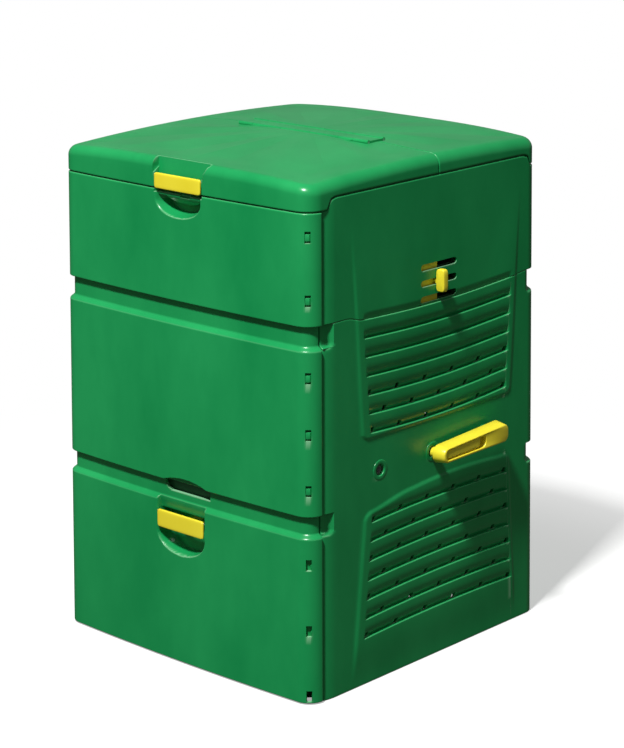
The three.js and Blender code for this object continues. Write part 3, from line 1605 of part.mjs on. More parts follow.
// Fixed floor between the chambers: a slatted frame on the ledges of the top tier
function chamberGrid() {
  const low = upperBand.top + ledgeThickness + runningGap;
  const halfX = halfWidthAt(low + gridHeight) - bandInset + lap;
  const halfY = halfDepthAt(low) - bandInset;
  const slopeTop = low + bandDepth - fitGap;
  let grid = wallLoft([[low, bandInset], [slopeTop, wallThickness + fitGap],
    [low + gridHeight, wallThickness + fitGap]]);
  const narrow = cornerXAt(low) - flangeReach - 2 * lap;
  grid = grid.intersect(block([-narrow, narrow], [-farAway, farAway], [low - overrun, lidCrown]));
  const broad = wallLoft([[low, bandInset], [low + gridHeight, bandInset]]);
  grid = grid.add(broad.intersect(block(
    [-halfX, halfX], [-farAway, farAway], [low - overrun, lidCrown],
  )));
  const inX = halfX - gridFrame;
  const inY = halfY - gridFrame;
  const pitch = (2 * inY + gridFrame) / gridBars;
  for (let row = 0; row < gridBars; row += 1) {
    const y = -inY + row * pitch;
    [[-inX, -gridFrame / 2], [gridFrame / 2, inX]].forEach((span) => {
      grid = grid.subtract(block(
        span, [y, y + pitch - gridFrame], [low - overrun, low + gridHeight + overrun],
      ));
    });
  }
  return grid;
}

// Assembly

addPart("base_grid", baseGrid(), darkGreen);
addPart("front_top_panel", frontTopPanel(), green);
addPart("front_middle_panel", frontMiddlePanel(), green);
addPart("rear_top_panel", rearTopPanel(), green);
addPart("rear_middle_panel", rearMiddlePanel(), green);

const brackets = joined(shelfBracket(-1), shelfBracket(1));
const rightLower = lowerSide().add(brackets);
addPart("right_side_lower", joined(rightLower, hookPegs(doorHooks, 1), hookPegs(middleHooks)), green);
addPart("left_side_lower", mirroredX(rightLower).add(turnedToLeft(hookPegs(middleHooks))), green);
const upper = upperSide();
addPart("right_side_upper", upper.add(hookPegs(topHooks)), green);
addPart("left_side_upper", mirroredX(upper).add(turnedToLeft(hookPegs(topHooks))), green);

addPart("hinge_bridge", hingeBridge(), green);
[["front_hinge_rod", -1], ["rear_hinge_rod", 1]].forEach(([name, side]) => {
  addPart(name, rodAlongX(hingeRod, [-hingeLength / 2, hingeLength / 2], lidHinge(side), hingeHeight), steel);
});
addPart("chamber_grid", chamberGrid(), darkGreen);
addPart("front_floor_shelf", floorShelf(-1), darkGreen);
addPart("rear_floor_shelf", floorShelf(1), darkGreen);

addPart("front_lid", lidHalf(-1), green);
addPart("rear_lid", lidHalf(1), green);
addPart("front_lid_latch", lidLatchBar(), yellow);
addPart("front_lid_latch_pin", latchPinRod(lidLatch), steel);
addPart("rear_lid_latch", mirroredY(lidLatchBar()), yellow);
addPart("rear_lid_latch_pin", mirroredY(latchPinRod(lidLatch)), steel);

addPart("front_door", frontDoor(), green);
addPart("rear_door", rearDoor(), green);
addPart("front_door_latch", doorLatchBar(), yellow);
addPart("front_door_latch_pin", latchPinRod(doorLatch), steel);
addPart("rear_door_latch", mirroredY(doorLatchBar()), yellow);
addPart("rear_door_latch_pin", mirroredY(latchPinRod(doorLatch)), steel);
addPart("front_door_pin_left", doorPinRod(-1, false), steel);
addPart("front_door_pin_right", doorPinRod(1, false), steel);
addPart("rear_door_pin_left", doorPinRod(-1, true), steel);
addPart("rear_door_pin_right", doorPinRod(1, true), steel);

addPart("right_slide_plate", slidePlate(), yellow);
addPart("right_slide_knob", knobSolid(), yellow);
addPart("right_slide_guide", slideGuide(), darkGreen);
addPart("left_slide_plate", mirroredX(slidePlate()), yellow);
addPart("left_slide_knob", mirroredX(knobSolid()), yellow);
addPart("left_slide_guide", mirroredX(slideGuide()), darkGreen);

const leverFace = halfWidthAt(floorHeight) + leverStandOff + leverThickness;
const places = { front: shaftPlaces()[0], centre: shaftPlaces()[1], rear: shaftPlaces()[2] };
Object.entries(places).forEach(([name, y]) => {
  const inLever = leverFace - leverPocket.depth - shaftEndSkin - fitGap;
  const rightEnd = name === "centre" ? inLever : halfWidthAt(floorHeight) - wallThickness / 2;
  addPart(`${name}_flap`, floorFlap(y), darkGreen);
  addPart(`${name}_flap_shaft`, floorShaft(y, rightEnd), steel);
  addPart(`${name}_flap_crank`, floorCrank(y), steel);
  addPart(`right_${name}_bush`, shaftBush(y), darkGreen);
  addPart(`left_${name}_bush`, mirroredX(shaftBush(y)), darkGreen);
});
addPart("flap_tie_bar", tieBar(), steel);
addPart("floor_lever", leverSolid(), yellow);

// The lever stands out on one side only, so the walls lie off the middle of the outer box
const knobFace = halfWidthAt(knob.low + knob.rounding) + knob.proud;
const leftFace = Math.max(wallWidth / 2, knobFace);
bin.position.x = -(leverFace - leftFace) / 2;

export default bin;
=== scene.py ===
# %% [markdown]
# # A compost bin, drawn as surfaces
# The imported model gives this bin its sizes, its hinges and its solids. This lesson draws the skin
# that people see: moulded panels with soft edges, curved ribs with air holes, finger recesses and
# yellow latches. A moulded panel could be modelled by hand with loops and bevels. Here each one is
# a height map instead: a grid of points on the wall, and a number for each point that says how far
# the face is pressed in. It is quick, and the same few lines serve the front, the rear and the door.

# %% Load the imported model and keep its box
import json
import math

import bpy
import numpy as np
from mathutils import Matrix, Vector


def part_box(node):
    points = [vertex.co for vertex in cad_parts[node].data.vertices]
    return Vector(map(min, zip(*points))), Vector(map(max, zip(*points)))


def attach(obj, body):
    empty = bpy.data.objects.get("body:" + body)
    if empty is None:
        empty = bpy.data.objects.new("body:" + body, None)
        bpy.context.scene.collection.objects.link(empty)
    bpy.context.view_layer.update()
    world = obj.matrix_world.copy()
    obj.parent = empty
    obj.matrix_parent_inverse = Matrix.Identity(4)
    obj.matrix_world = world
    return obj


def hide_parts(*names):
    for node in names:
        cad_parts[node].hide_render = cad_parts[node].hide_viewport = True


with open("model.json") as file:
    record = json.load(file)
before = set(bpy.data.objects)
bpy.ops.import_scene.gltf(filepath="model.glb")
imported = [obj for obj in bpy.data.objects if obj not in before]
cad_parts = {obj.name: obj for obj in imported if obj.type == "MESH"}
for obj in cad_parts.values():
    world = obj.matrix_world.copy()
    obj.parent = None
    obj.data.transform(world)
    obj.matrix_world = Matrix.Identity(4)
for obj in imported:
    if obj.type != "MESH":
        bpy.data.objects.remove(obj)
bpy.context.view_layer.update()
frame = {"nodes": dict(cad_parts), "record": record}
nodes = frame["nodes"]
# The lever reaches further out than the left knob, so the middle of the box lies beside the middle
# plane of the bin. All functions work in millimetres about that plane; this moves them, in metres.
shift_x = -0.01416825

# %% [markdown]
# ## The leaning wall
# The bin is a little narrower at its top than at its foot, its corners are round, and the front and
# rear bow out. So a panel isn't a flat sheet. We describe a place on the wall by its distance along
# the wall and its height, and one function bends this pair onto the real wall. Everything that
# follows, such as a rib or a slot, is drawn flat and lands in the right place by itself.

# %% Wall sizes in millimetres
lean = 0.0118
corner_radius = 40.0
wall_thickness = 8.0
bow = 10.7
corner_arc = corner_radius * math.pi / 2


def half_width(z):
    """Half the width at height z: 386 at the ground, less the lean for every millimetre of height."""
    return 386.0 - lean * z


def half_depth(z):
    """Half the depth at height z, without the bow of the front."""
    return 394.0 - lean * z


def corner_x(z):
    """Where the straight wall ends and the round corner starts."""
    return half_width(z) - corner_radius


def corner_y(z):
    """The same place along the side: the bowed front's end, less the corner's radius."""
    share = corner_x(z) / half_width(z)
    return half_depth(z) + bow * (1 - share**2) - corner_radius


def front_point(along, z, inset):
    """Point of the front wall. It runs straight along X with a parabola for the bow, then turns
    round the corner on a circle; the inset shrinks the circle and moves the straight part in."""
    cx, cy = corner_x(z), corner_y(z)
    flat = np.minimum(np.abs(along), cx)
    angle = np.clip(np.abs(along) - cx, 0, corner_arc) / corner_radius
    x = flat + (corner_radius - inset) * np.sin(angle)
    bowed = half_depth(z) + bow * (1 - (flat / half_width(z)) ** 2) - inset
    round_end = cy + (corner_radius - inset) * np.cos(angle)
    y = -np.where(angle > 0, round_end, bowed)
    return np.stack(np.broadcast_arrays(np.sign(along) * x, y, z), -1)


def side_point(along, z, inset):
    """Point of the right wall: straight along Y, then round the rear corner on the same circle."""
    cx, cy = corner_x(z), corner_y(z)
    angle = np.clip(along - cy, 0, corner_arc) / corner_radius
    x = cx + (corner_radius - inset) * np.cos(angle)
    y = np.minimum(along, cy) + (corner_radius - inset) * np.sin(angle)
    return np.stack(np.broadcast_arrays(x, y, z), -1)


print("corner at the ground:", round(corner_x(0), 1), round(corner_y(0), 1))

# %% [markdown]
# ## Rulers and soft steps
# A grid is only as good as its lines: a sharp edge needs two lines close together, a plain face
# needs few. A ruler is a list of stops, each with the spacing that follows it. A soft step is the
# S curve that every edge of a moulding has, because a mould can't hold a razor edge.

# %% Rulers and soft steps


def ruler(*stops):
    """Grid lines: between two stops the span is cut into equal parts of at most the given step."""
    lines = [np.array([stops[0][0]], float)]
    for (start, step), (end, _) in zip(stops[:-1], stops[1:]):
        cells = max(1, math.ceil((end - start) / step - 1e-6))
        lines.append(np.linspace(start, end, cells + 1)[1:])
    return np.concatenate(lines)


def soft(value):
    """The S curve 3t^2 - 2t^3 of a value clipped to 0..1."""
    t = np.clip(value, 0, 1)
    return t * t * (3 - 2 * t)


def edge_round(distance, radius=2.5):
    """How far a face falls back near its border: a quarter circle of this radius."""
    t = np.clip(distance, 0, radius)
    return radius - np.sqrt(np.maximum(radius**2 - (radius - t) ** 2, 0))


def inside(first, second, radius):
    """Distance from the border of a corner region whose corner is rounded with this radius."""
    a, b = radius - first, radius - second
    rounded = radius - np.hypot(np.maximum(a, 0), np.maximum(b, 0))
    return np.where((a > 0) & (b > 0), rounded, np.minimum(first, second))


print("a ruler:", ruler((0, 1), (3, 4), (15, 0)))

# %% [markdown]
# ## From a height map to a panel with thickness
# A panel has an outer and an inner face on the same grid. Cells that a mask leaves out become holes.
# Wherever a kept cell has no neighbour, a short wall joins the two faces, so the panel is closed.

# %% Build closed panels and lofts


def panel_faces(outer, inner, keep):
    """Quads of the outer grid, the inner grid turned round, and walls at each border of the mask."""
    rows, columns = outer.shape[:2]
    total = rows * columns
    number = np.arange(total).reshape(rows, columns)
    cells = np.stack([number[:-1, :-1], number[:-1, 1:], number[1:, 1:], number[1:, :-1]], -1)
    ring = np.pad(keep, 1)
    borders = (
        (keep & ~ring[:-2, 1:-1], 1, 0),
        (keep & ~ring[1:-1, 2:], 2, 1),
        (keep & ~ring[2:, 1:-1], 3, 2),
        (keep & ~ring[1:-1, :-2], 0, 3),
    )
    faces = [cells[keep], cells[keep][:, ::-1] + total]
    for border, first, second in borders:
        a, b = cells[border][:, first], cells[border][:, second]
        faces.append(np.stack([a, b, b + total, a + total], -1))
    faces = np.concatenate(faces)
    used, again = np.unique(faces, return_inverse=True)
    points = np.concatenate([outer.reshape(-1, 3), inner.reshape(-1, 3)])[used]
    return points, again.reshape(faces.shape)


def outward(points, faces):
    """The faces, all turned round if the volume that they enclose comes out negative."""
    a, b, c, d = (points[faces[:, i]] for i in range(4))
    volume = np.einsum("ij,ij->", a, np.cross(b, c)) + np.einsum("ij,ij->", a, np.cross(c, d))
    return points, faces if volume > 0 else faces[:, ::-1]


def loft(rings):
    """A closed solid through rings of equally many points; both ends close on their middle point."""
    rings = np.asarray(rings, float)
    levels, count = rings.shape[:2]
    number = np.arange(levels * count).reshape(levels, count)
    ahead = np.roll(number, -1, axis=1)
    sides = np.stack([number[:-1], ahead[:-1], ahead[1:], number[1:]], -1).reshape(-1, 4)
    low, high = np.full(count, levels * count), np.full(count, levels * count + 1)
    first = np.stack([ahead[0], number[0], low, low], -1)
    last = np.stack([number[-1], ahead[-1], high, high], -1)
    points = np.concatenate([rings.reshape(-1, 3), [rings[0].mean(0), rings[-1].mean(0)]])
    return outward(points, np.concatenate([sides, first, last]))


def lathe_along_x(profile, y, z):
    """A profile of (x, radius) pairs carried round an axis along X in 48 steps; it closes on itself."""
    angle = np.linspace(0, 2 * np.pi, 48, endpoint=False)
    x, radius = (column[:, None] for column in np.asarray(profile, float).T)
    points = np.stack([x + 0 * angle, y + radius * np.cos(angle), z + radius * np.sin(angle)], -1)
    number = np.arange(points.size // 3).reshape(points.shape[:2])
    up, ahead = np.roll(number, -1, 0), np.roll(number, -1, 1)
    faces = np.stack([number, ahead, np.roll(up, -1, 1), up], -1).reshape(-1, 4)
    return outward(points.reshape(-1, 3), faces)


def round_bar(ends, y, z, count):
    """A round bar along X through pairs of a place and a radius."""
    angle = np.linspace(0, 2 * np.pi, count, endpoint=False)
    return loft([[(x, y + r * math.cos(a), z + r * math.sin(a)) for a in angle] for x, r in ends])


def bar_along_x(outline, span):
    """An outline of (y, z) points carried along X from one end of the span to the other."""
    return loft([[(x, y, z) for y, z in outline] for x in span])


def rectangle(first, second):
    """The four corners between two spans."""
    (a, b), (c, d) = first, second
    return [(a, c), (b, c), (b, d), (a, d)]


def mirrored(parts, axis):
    """The same parts on the other side; their faces are turned round so that they still face out."""
    sign = np.where(np.arange(3) == axis, -1, 1)
    return [(points * sign, faces[:, ::-1]) for points, faces in parts]


# %% Put parts into one named piece
least_fall, fall_range = 0.13, 0.22


def mark_edge_highlights(mesh, count):
    """Stores a painted highlight for each vertex: 1 on edges that stand out and face up, where light
    from above would catch them. A vertex stands out where its neighbours lie below its tangent
    plane; that fall is a dot product with the normal. Only the first vertices are marked, as many
    as count says: they are the panel itself."""
    places, normals = np.empty((2, len(mesh.vertices) * 3))
    mesh.vertices.foreach_get("co", places)
    mesh.vertex_normals.foreach_get("vector", normals)
    places, normals = places.reshape(-1, 3), normals.reshape(-1, 3)
    ends = np.empty(len(mesh.edges) * 2, int)
    mesh.edges.foreach_get("vertices", ends)
    a, b = ends.reshape(-1, 2).T
    step = places[b] - places[a]
    step /= np.maximum(np.linalg.norm(step, axis=1, keepdims=True), 1e-9)
    fall = np.zeros(len(places))
    np.maximum.at(fall, a, -(normals[a] * step).sum(1))
    np.maximum.at(fall, b, (normals[b] * step).sum(1))
    stands_out = np.clip((fall - least_fall) / fall_range, 0, 1)
    # Painted highlight: edges that stand out turn pale where they face up, as light from above would
    # make them.
    pale = stands_out * np.clip(normals[:, 2] * 2.2 - 0.5, 0, 1)
    pale[count:] = 0
    mesh.attributes.new("painted_edge_highlight", "FLOAT", "POINT").data.foreach_set("value", pale)


def make_piece(name, parts, slot, body="root", node_names=(), crease=40):
    """Joins parts into one mesh in metres, shades it smooth but for edges sharper than crease.
    A quad whose first or last two corners are the same point becomes a triangle."""
    outlines, start = [], 0
    for points, faces in parts:
        first, last = faces[:, 0] == faces[:, 1], faces[:, 2] == faces[:, 3]
        for some in (faces[~(first | last)], faces[first][:, 1:], faces[last][:, :3]):
            outlines.extend((some + start).tolist())
        start += len(points)
    places = np.concatenate([points for points, _ in parts]) * 0.001 + [shift_x, 0, 0]
    mesh = bpy.data.meshes.new(name)
    mesh.from_pydata(places.tolist(), [], outlines)
    mesh.polygons.foreach_set("use_smooth", np.ones(len(outlines), bool))
    mesh.set_sharp_from_angle(angle=math.radians(crease))
    mesh.materials.append(finishes[slot])
    # Paint a highlight on the panel's edges that stand out and face up.
    mark_edge_highlights(mesh, len(parts[0][0]))
    made = bpy.data.objects.new(name, mesh)
    bpy.context.scene.collection.objects.link(made)
    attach(made, body)
    if node_names:
        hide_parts(*node_names)
    print(name, "faces:", len(outlines))



# %% [markdown]
# ## Plastic and steel
# The green panels are injection moulded. Seen closely, such a skin has a fine leather-like grain,
# a few long and very shallow sink marks, and a colour that drifts a little. We could paint this
# with a picture, but a picture has seams and a fixed sharpness. A noise field in object space has
# neither: it runs through all panels at one scale, drawn out a little along the height. The shader
# keeps a plain gloss, because that survives the trip to other programs.

# %% Helpers that put shader nodes together


def set_inputs(tree, node, inputs):
    """Gives each named input its value, or links it to the output of another node."""
    for name, value in inputs.items():
        if isinstance(value, bpy.types.NodeSocket):
            tree.links.new(value, node.inputs[name])
        else:
            node.inputs[name].default_value = value


def add_node(tree, kind, inputs=None, **settings):
    """A new node of a shader tree, with its settings made before its inputs."""
    node = tree.nodes.new("ShaderNode" + kind)
    for name, value in settings.items():
        setattr(node, name, value)
    set_inputs(tree, node, inputs or {})
    return node


def two_colours(tree, factor, first, second):
    """A ramp between two colours; each is a place on the ramp and a colour."""
    ramp = add_node(tree, "ValToRGB", {"Fac": factor})
    for element, (position, colour) in zip(ramp.color_ramp.elements, (first, second)):
        element.position, element.color = position, (*colour, 1.0)
    return ramp.outputs["Color"]


def new_material(name):
    """An empty material, its tree and its main shader."""
    material = bpy.data.materials.new(name)
    material.use_nodes = True
    return material, material.node_tree, material.node_tree.nodes["Principled BSDF"]


# %% Moulded plastic and drawn steel


def moulded_plastic(name, deep, bright, roughness, sink=0.0016, shine=0.5, edge=0.0):
    """Colour drifts between two values with a wide noise, and turns pale on the marked edges by the
    share that edge gives: a painted highlight. Fine noise and wide noise both bump it."""
    material, tree, shader = new_material(name)
    place = add_node(tree, "TexCoord").outputs["Object"]
    stretch = add_node(tree, "Mapping", {"Scale": (1.0, 1.0, 0.45), "Vector": place})
    drift = add_node(tree, "TexNoise", {
        "Scale": 4.5, "Detail": 7.0, "Roughness": 0.62, "Vector": stretch.outputs["Vector"],
    })
    colour = two_colours(tree, drift.outputs["Fac"], (0.34, deep), (0.68, bright))
    marked = add_node(tree, "Attribute", attribute_name="painted_edge_highlight").outputs["Fac"]
    strength = add_node(tree, "Math", {0: marked, 1: edge}, operation="MULTIPLY")
    # Painted highlight: a pale mint mixed in on the marked edges.
    highlighted = add_node(tree, "Mix", {
        "Factor": strength.outputs["Value"], "A": colour, "B": (0.26, 0.56, 0.32, 1.0),
    }, data_type="RGBA")
    grain = add_node(tree, "TexNoise", {"Scale": 700.0, "Detail": 2.0, "Vector": place})
    fine = add_node(tree, "Bump", {
        "Strength": 0.3, "Distance": 0.00012, "Height": grain.outputs["Fac"],
    })
    marks = add_node(tree, "TexNoise", {"Scale": 7.0, "Detail": 1.0, "Vector": place})
    wide = add_node(tree, "Bump", {
        "Strength": 0.4, "Distance": sink, "Height": marks.outputs["Fac"],
        "Normal": fine.outputs["Normal"],
    })
    set_inputs(tree, shader, {
        "Roughness": roughness, "Specular IOR Level": shine,
        "Base Color": highlighted.outputs["Result"], "Normal": wide.outputs["Normal"],
    })
    return material


def drawn_steel(name):
    """Grey metal; noise stretched along X makes the fine drawing lines of a rod."""
    material, tree, shader = new_material(name)
    place = add_node(tree, "TexCoord").outputs["Object"]
    stretch = add_node(tree, "Mapping", {"Scale": (8.0, 500.0, 500.0), "Vector": place})
    lines = add_node(tree, "TexNoise", {"Scale": 3.0, "Vector": stretch.outputs["Vector"]})
    dark, pale = (0.0, (0.42, 0.43, 0.44)), (1.0, (0.66, 0.67, 0.68))
    set_inputs(tree, shader, {
        "Metallic": 1.0, "Roughness": 0.34,
        "Base Color": two_colours(tree, lines.outputs["Fac"], dark, pale),
    })
    return material


finishes = {
    # The green carries a painted highlight of 0.85 on its marked edges.
    "green_plastic": moulded_plastic(
        "moulded_green", (0.005, 0.255, 0.068), (0.014, 0.325, 0.092), 0.28, shine=0.4, edge=0.85,
    ),
    # A dark green for the parts that the record gives it; the same finish is painted shade on the plate
    # behind the front window and on the door catches.
    "dark_green_plastic": moulded_plastic(
        "dark_green_and_painted_shade", (0.004, 0.075, 0.022), (0.007, 0.10, 0.03), 0.6,
    ),
    "yellow_plastic": moulded_plastic(
        "moulded_yellow", (0.84, 0.70, 0.03), (0.93, 0.80, 0.05), 0.3, sink=0.0006,
    ),
    "steel": drawn_steel("drawn_steel"),
}
print("finishes:", sorted(finishes))

# %% [markdown]
# ## Finishes on the pieces that stay
# Shafts, grids, flaps and pins keep the meshes they came with. The record says which finish each
# of them has, so one short loop hands the materials out and nothing can be forgotten.

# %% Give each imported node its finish
for entry in frame["record"]["subparts"]:
    holder = nodes[entry["node"]]
    holder.data.materials.clear()
    holder.data.materials.append(finishes[entry["material_slot"]])

# %% [markdown]
# ## Three tiers of wall
# The front is a door, a middle panel and a top panel. Each one is stepped back along its upper
# edge, and the next one stands on that step, so a dark groove runs round the bin between them. All
# of them wrap the front corners. The rear ones stop short of the corners, so the same functions
# draw them with a narrower ruler and a mirror.

# %% Columns of a tier, and the pressed-in shapes they share
nominal_corner = corner_x(0.0)
wrap_end = nominal_corner + corner_arc
hook_spans = {1: (22.7, 35.5), -1: (27.4, 40.1)}
step_depth = 10.5


def tier_end(wraps):
    """Where a tier ends: round the corner, or just short of it."""
    return wrap_end if wraps else nominal_corner - 0.4


def tier_columns(wraps, left, right, step):
    """Distances along the wall, close together at its ends, at its hook slots and, by the given
    step, in the field between left and right."""
    end = tier_end(wraps)
    halves = []
    for sign, border in ((1, right), (-1, left)):
        stops = [(0, step), (abs(border), 12)]
        if wraps:
            low, high = (nominal_corner + value for value in hook_spans[sign])
            stops += [(nominal_corner, 4), (low, 3.2), (high, 4)]
        stops += [(end - 4, 1.4), (end - 1.2, 0.4), (end, 0)]
        halves.append(ruler(*stops))
    return np.concatenate([-halves[1][:0:-1], halves[0]])


def wall_place(nominal, z):
    """Moves a nominal column out with the wall: fixed up to 200, then stretched to the corner."""
    reach = np.abs(nominal)
    share = np.clip((reach - 200) / (nominal_corner - 200), 0, 1)
    return np.sign(nominal) * (reach + share * (corner_x(z) - nominal_corner))


def front_face(z):
    """Y of the front wall at its middle, where it bows out most."""
    return -(half_depth(z) + bow)


def band_depth(z, foot, drop=0.0):
    """Depth of a recessed band: an S curve, 12 mm high, up from its foot."""
    return step_depth * soft((z - foot + drop) / 12.0)


def bowl_depth(x, z, centre, half, low, bowl, high, depth, floor_share, grow=0.0):
    """A finger recess: straight above, half an ellipse below, its wall sloping to the floor."""
    across = (x - centre) / (half + grow)
    below = np.minimum(z - bowl, 0) / (bowl - low + grow)
    share = (1 - np.hypot(across, below)) / (1 - floor_share)
    wall = 0.45 * np.clip(share, 0, 1) + 0.55 * soft(share)
    return (depth + grow) * wall * (z < high + grow)


def hook_mask(u, z, heights):
    """True where a hook slot, 25 mm high, goes through the corner of the front wall."""
    away = np.abs(u) - nominal_corner
    mask = np.zeros(z.shape, bool)
    for sign, (near, far) in hook_spans.items():
        for height in heights:
            mask |= (u * sign > 0) & (away > near) & (away < far) & (np.abs(z - height) < 12.5)
    return mask


def tier_grid(columns, rows):
    """Nominal columns and heights as two grids, and the columns' real places on the wall."""
    u, z = np.meshgrid(columns, rows)
    return u, z, wall_place(u, z)


def cell_middles(grid):
    """The middle value of each cell of a grid."""
    return (grid[:-1, :-1] + grid[1:, 1:]) / 2


def end_round(u, wraps):
    """The soft vertical edges of a tier at its two ends."""
    return edge_round(tier_end(wraps) - np.abs(u))


def tier_part(z, along, outer, inner, holes):
    """Puts the two faces of a tier on the wall and closes them round its holes."""
    return panel_faces(front_point(along, z, outer), front_point(along, z, inner), ~holes)


def front_box(x_span, inset_span, z_span):
    """A plain block behind the front wall, leaning with it, for a hook or a plate."""
    rings = []
    for z in z_span:
        depths = [front_face(z) + inset for inset in inset_span]
        rings.append([(x, y, z) for x, y in rectangle(x_span, depths)])
    return loft(rings)


def make_tier(name, draw, extras, node, rides=False):
    """The front piece wraps the corners; the rear one stops short of them and is mirrored."""
    for place in ("front", "rear"):
        parts = [draw(place == "front"), *extras]
        if place == "rear":
            parts = mirrored(parts, 1)
        body = f"{place}_{node}" if rides else "root"
        make_piece(f"{place}_{name}", parts, "green_plastic", body, [f"{place}_{node}"])


print("columns of a wrapped tier:", len(tier_columns(True, -92, 100, 1.7)))

# %% [markdown]
# ## The doors
# A door is the lowest tier. Its finger recess is a bowl in the height map, deep below the latch and
# shallow above it. The window in the step is a patch of cells left out of the mask.

# %% Draw a door
latch_centre = 3.0
door_foot, door_step, door_top = 3.0, 370.0, 417.5
door_hooks = (19.5, 167.3, 315.1)
door_bowl = {
    "centre": latch_centre, "half": 74.0, "low": 254.0, "bowl": 300.0, "high": 380.0,
    "depth": 36.0, "floor_share": 0.86,
}
window_left, window_right = -52.5, 85.5
pin_height = 14.0


def door_part(wraps):
    """A face pressed in by the step, the bowl and its rounded edges; the window is a hole. The
    back is cut away beside the lugs of the hinge, 131.4 and 168.6 mm from the middle."""
    by_lugs = np.array([127.8, 135, 165, 172.2])
    columns = np.unique(np.concatenate([
        tier_columns(wraps, -92, 100, 1.7), [window_left, window_right], by_lugs, -by_lugs,
    ]))
    rows = ruler(
        (door_foot, 0.5), (5.6, 3), (7, 6), (18.6, 1), (19.6, 12.4), (32, 20), (154.8, 12.5),
        (179.8, 15), (246, 1.8), (302.6, 1.8), (327.6, 2.5), (368, 1.5), (380, 0.4), (380.4, 1.2),
        (384, 2.5), (396, 1.8), (415.5, 0.5), (door_top, 0),
    )
    u, z, along = tier_grid(columns, rows)
    bowl = bowl_depth(along, z, **door_bowl)
    above = 13.0 - 4.5 * soft((z - 350) / 28)
    blended = above + (bowl - above) * soft((352 - z) / 6)
    bowl = np.maximum(np.where(z > 346, np.minimum(bowl, blended), bowl), 0)
    outer = np.maximum(band_depth(z, door_step), bowl) + end_round(u, wraps)
    outer = outer + edge_round(z - door_foot) + edge_round(door_top - z, 1.5)
    back = bowl_depth(along, z, grow=4.0, **door_bowl)
    inner = wall_thickness + band_depth(z, door_step, drop=4)
    inner = np.maximum(inner, np.maximum(back, outer + 3.5))
    from_lug = np.minimum(np.abs(np.abs(u) - 131.4), np.abs(np.abs(u) - 168.6))
    inner = np.where((from_lug < 3.7) & (z < 18.7), 3.9, inner)
    middle_u, middle_z = cell_middles(u), cell_middles(z)
    low = 396 + 20 * (1 - np.sqrt(1 - np.clip((-30 - middle_u) / 24, 0, 1) ** 2))
    holes = (middle_u > window_left) & (middle_u < window_right) & (middle_z > low)
    holes |= hook_mask(middle_u, middle_z, door_hooks if wraps else ())
    return tier_part(z, along, outer, inner, holes)


def knuckle_part(x):
    """A barrel, 30 mm long, behind the door's foot: the pin of the hinge runs through it."""
    ends = ((x - 14.9, 5.4), (x - 14.3, 6.0), (x + 14.3, 6.0), (x + 14.9, 5.4))
    return round_bar(ends, front_face(pin_height) + 8.5, pin_height, 28)


make_tier("door_skin", door_part, [knuckle_part(-150.0), knuckle_part(150.0)], "door", rides=True)

# %% [markdown]
# ## The middle panels
# The middle panel is the plainest tier: a bowed sheet with a step along its top and a shallow arch
# in its foot, over the door's window. Its soft lower edge is what catches the light in a line.

# %% Draw a middle panel
middle_foot, middle_step, middle_top = 420.5, 776.5, 830.1
middle_hooks = (478.0, 600.0, 722.0)


def arch_depth(x, z):
    """The arch over the window: a parabola 12.5 high, cut 9.8 deep."""
    high = middle_foot + 12.5 * (1 - ((x - 16.5) / 69.0) ** 2)
    return 9.8 * soft((high - z) / 1.6)


def middle_part(wraps):
    """A sheet with a step at its top and an arch in its foot."""
    rows = ruler(
        (middle_foot, 0.5), (423.1, 1.4), (436, 3), (446, 20), (465.5, 12.5), (490.5, 20),
        (587.5, 12.5), (612.5, 20), (709.5, 12.5), (734.5, 20), (774, 1.8), (792, 8), (828, 0.7),
        (middle_top, 0),
    )
    u, z, along = tier_grid(tier_columns(wraps, -56, 90, 4), rows)
    outer = band_depth(z, middle_step) + arch_depth(along, z) + end_round(u, wraps)
    outer += edge_round(z - middle_foot) + edge_round(middle_top - z, 1.5)
    foot = step_depth * soft((438 - z) / 10.5)
    inner = wall_thickness + np.maximum(band_depth(z, middle_step, drop=4), foot)
    holes = hook_mask(cell_middles(u), cell_middles(z), middle_hooks if wraps else ())
    return tier_part(z, along, outer, inner, holes)


make_tier("middle_skin", middle_part, [], "middle_panel")

# %% Painted shade: a dark plate behind the front window, and the dark catches that the door latches snap behind
# A dark sheet behind the window, so that the window reads dark: painted shade.
shade_plate = front_box((-56, 90), (23, 25), (390, 417))
# The catch is the same green as the panel round it; it gets the dark finish as painted shade, because
# it lies in shade behind the window.
door_catch = [
    front_box((-12, 18), (17.5, 47), (middle_foot, 427.5)),
    front_box((-12, 18), (43, 47), (333.5, middle_foot)),
]
make_piece("front_door_shade_plate", [shade_plate], "dark_green_plastic", "front_door")
make_piece("front_door_catch_painted_shade", door_catch, "dark_green_plastic")
make_piece("rear_door_catch_painted_shade", mirrored(door_catch, 1), "dark_green_plastic")

# %% [markdown]
# ## The top panels
# The top tier ends in a thin rim that stands up inside the lid. Its finger recess lies under the
# lid's latch, and a small curved shelf in the recess holds the plate that the latch snaps behind.

# %% Draw a top panel
top_foot, top_shoulder, top_end = 830.5, 1068.0, 1080.0
top_hooks = (886.0, 1019.0)
lid_bowl = {
    "centre": latch_centre, "half": 68.5, "low": 1011.6, "bowl": 1048.0, "high": 1100.0,
    "depth": 34.0, "floor_share": 0.72,
}


def shelf_depth(x, z):
    """The shelf: its front edge near the face, its underside running back in a half moon."""
    across = np.clip(1 - ((x - 16) / 50.0) ** 2, 0, 1)
    low = 1057 - 17 * np.sqrt(across)
    front = 5 + 12 * soft((1058 - z) / 19)
    slot = 5.5 * soft((15 - np.abs(x - 20)) / 1.5) * soft((z - 1056) / 1.2)
    return np.where((z > low) & (z < 1061.6), front + slot, 99.0)


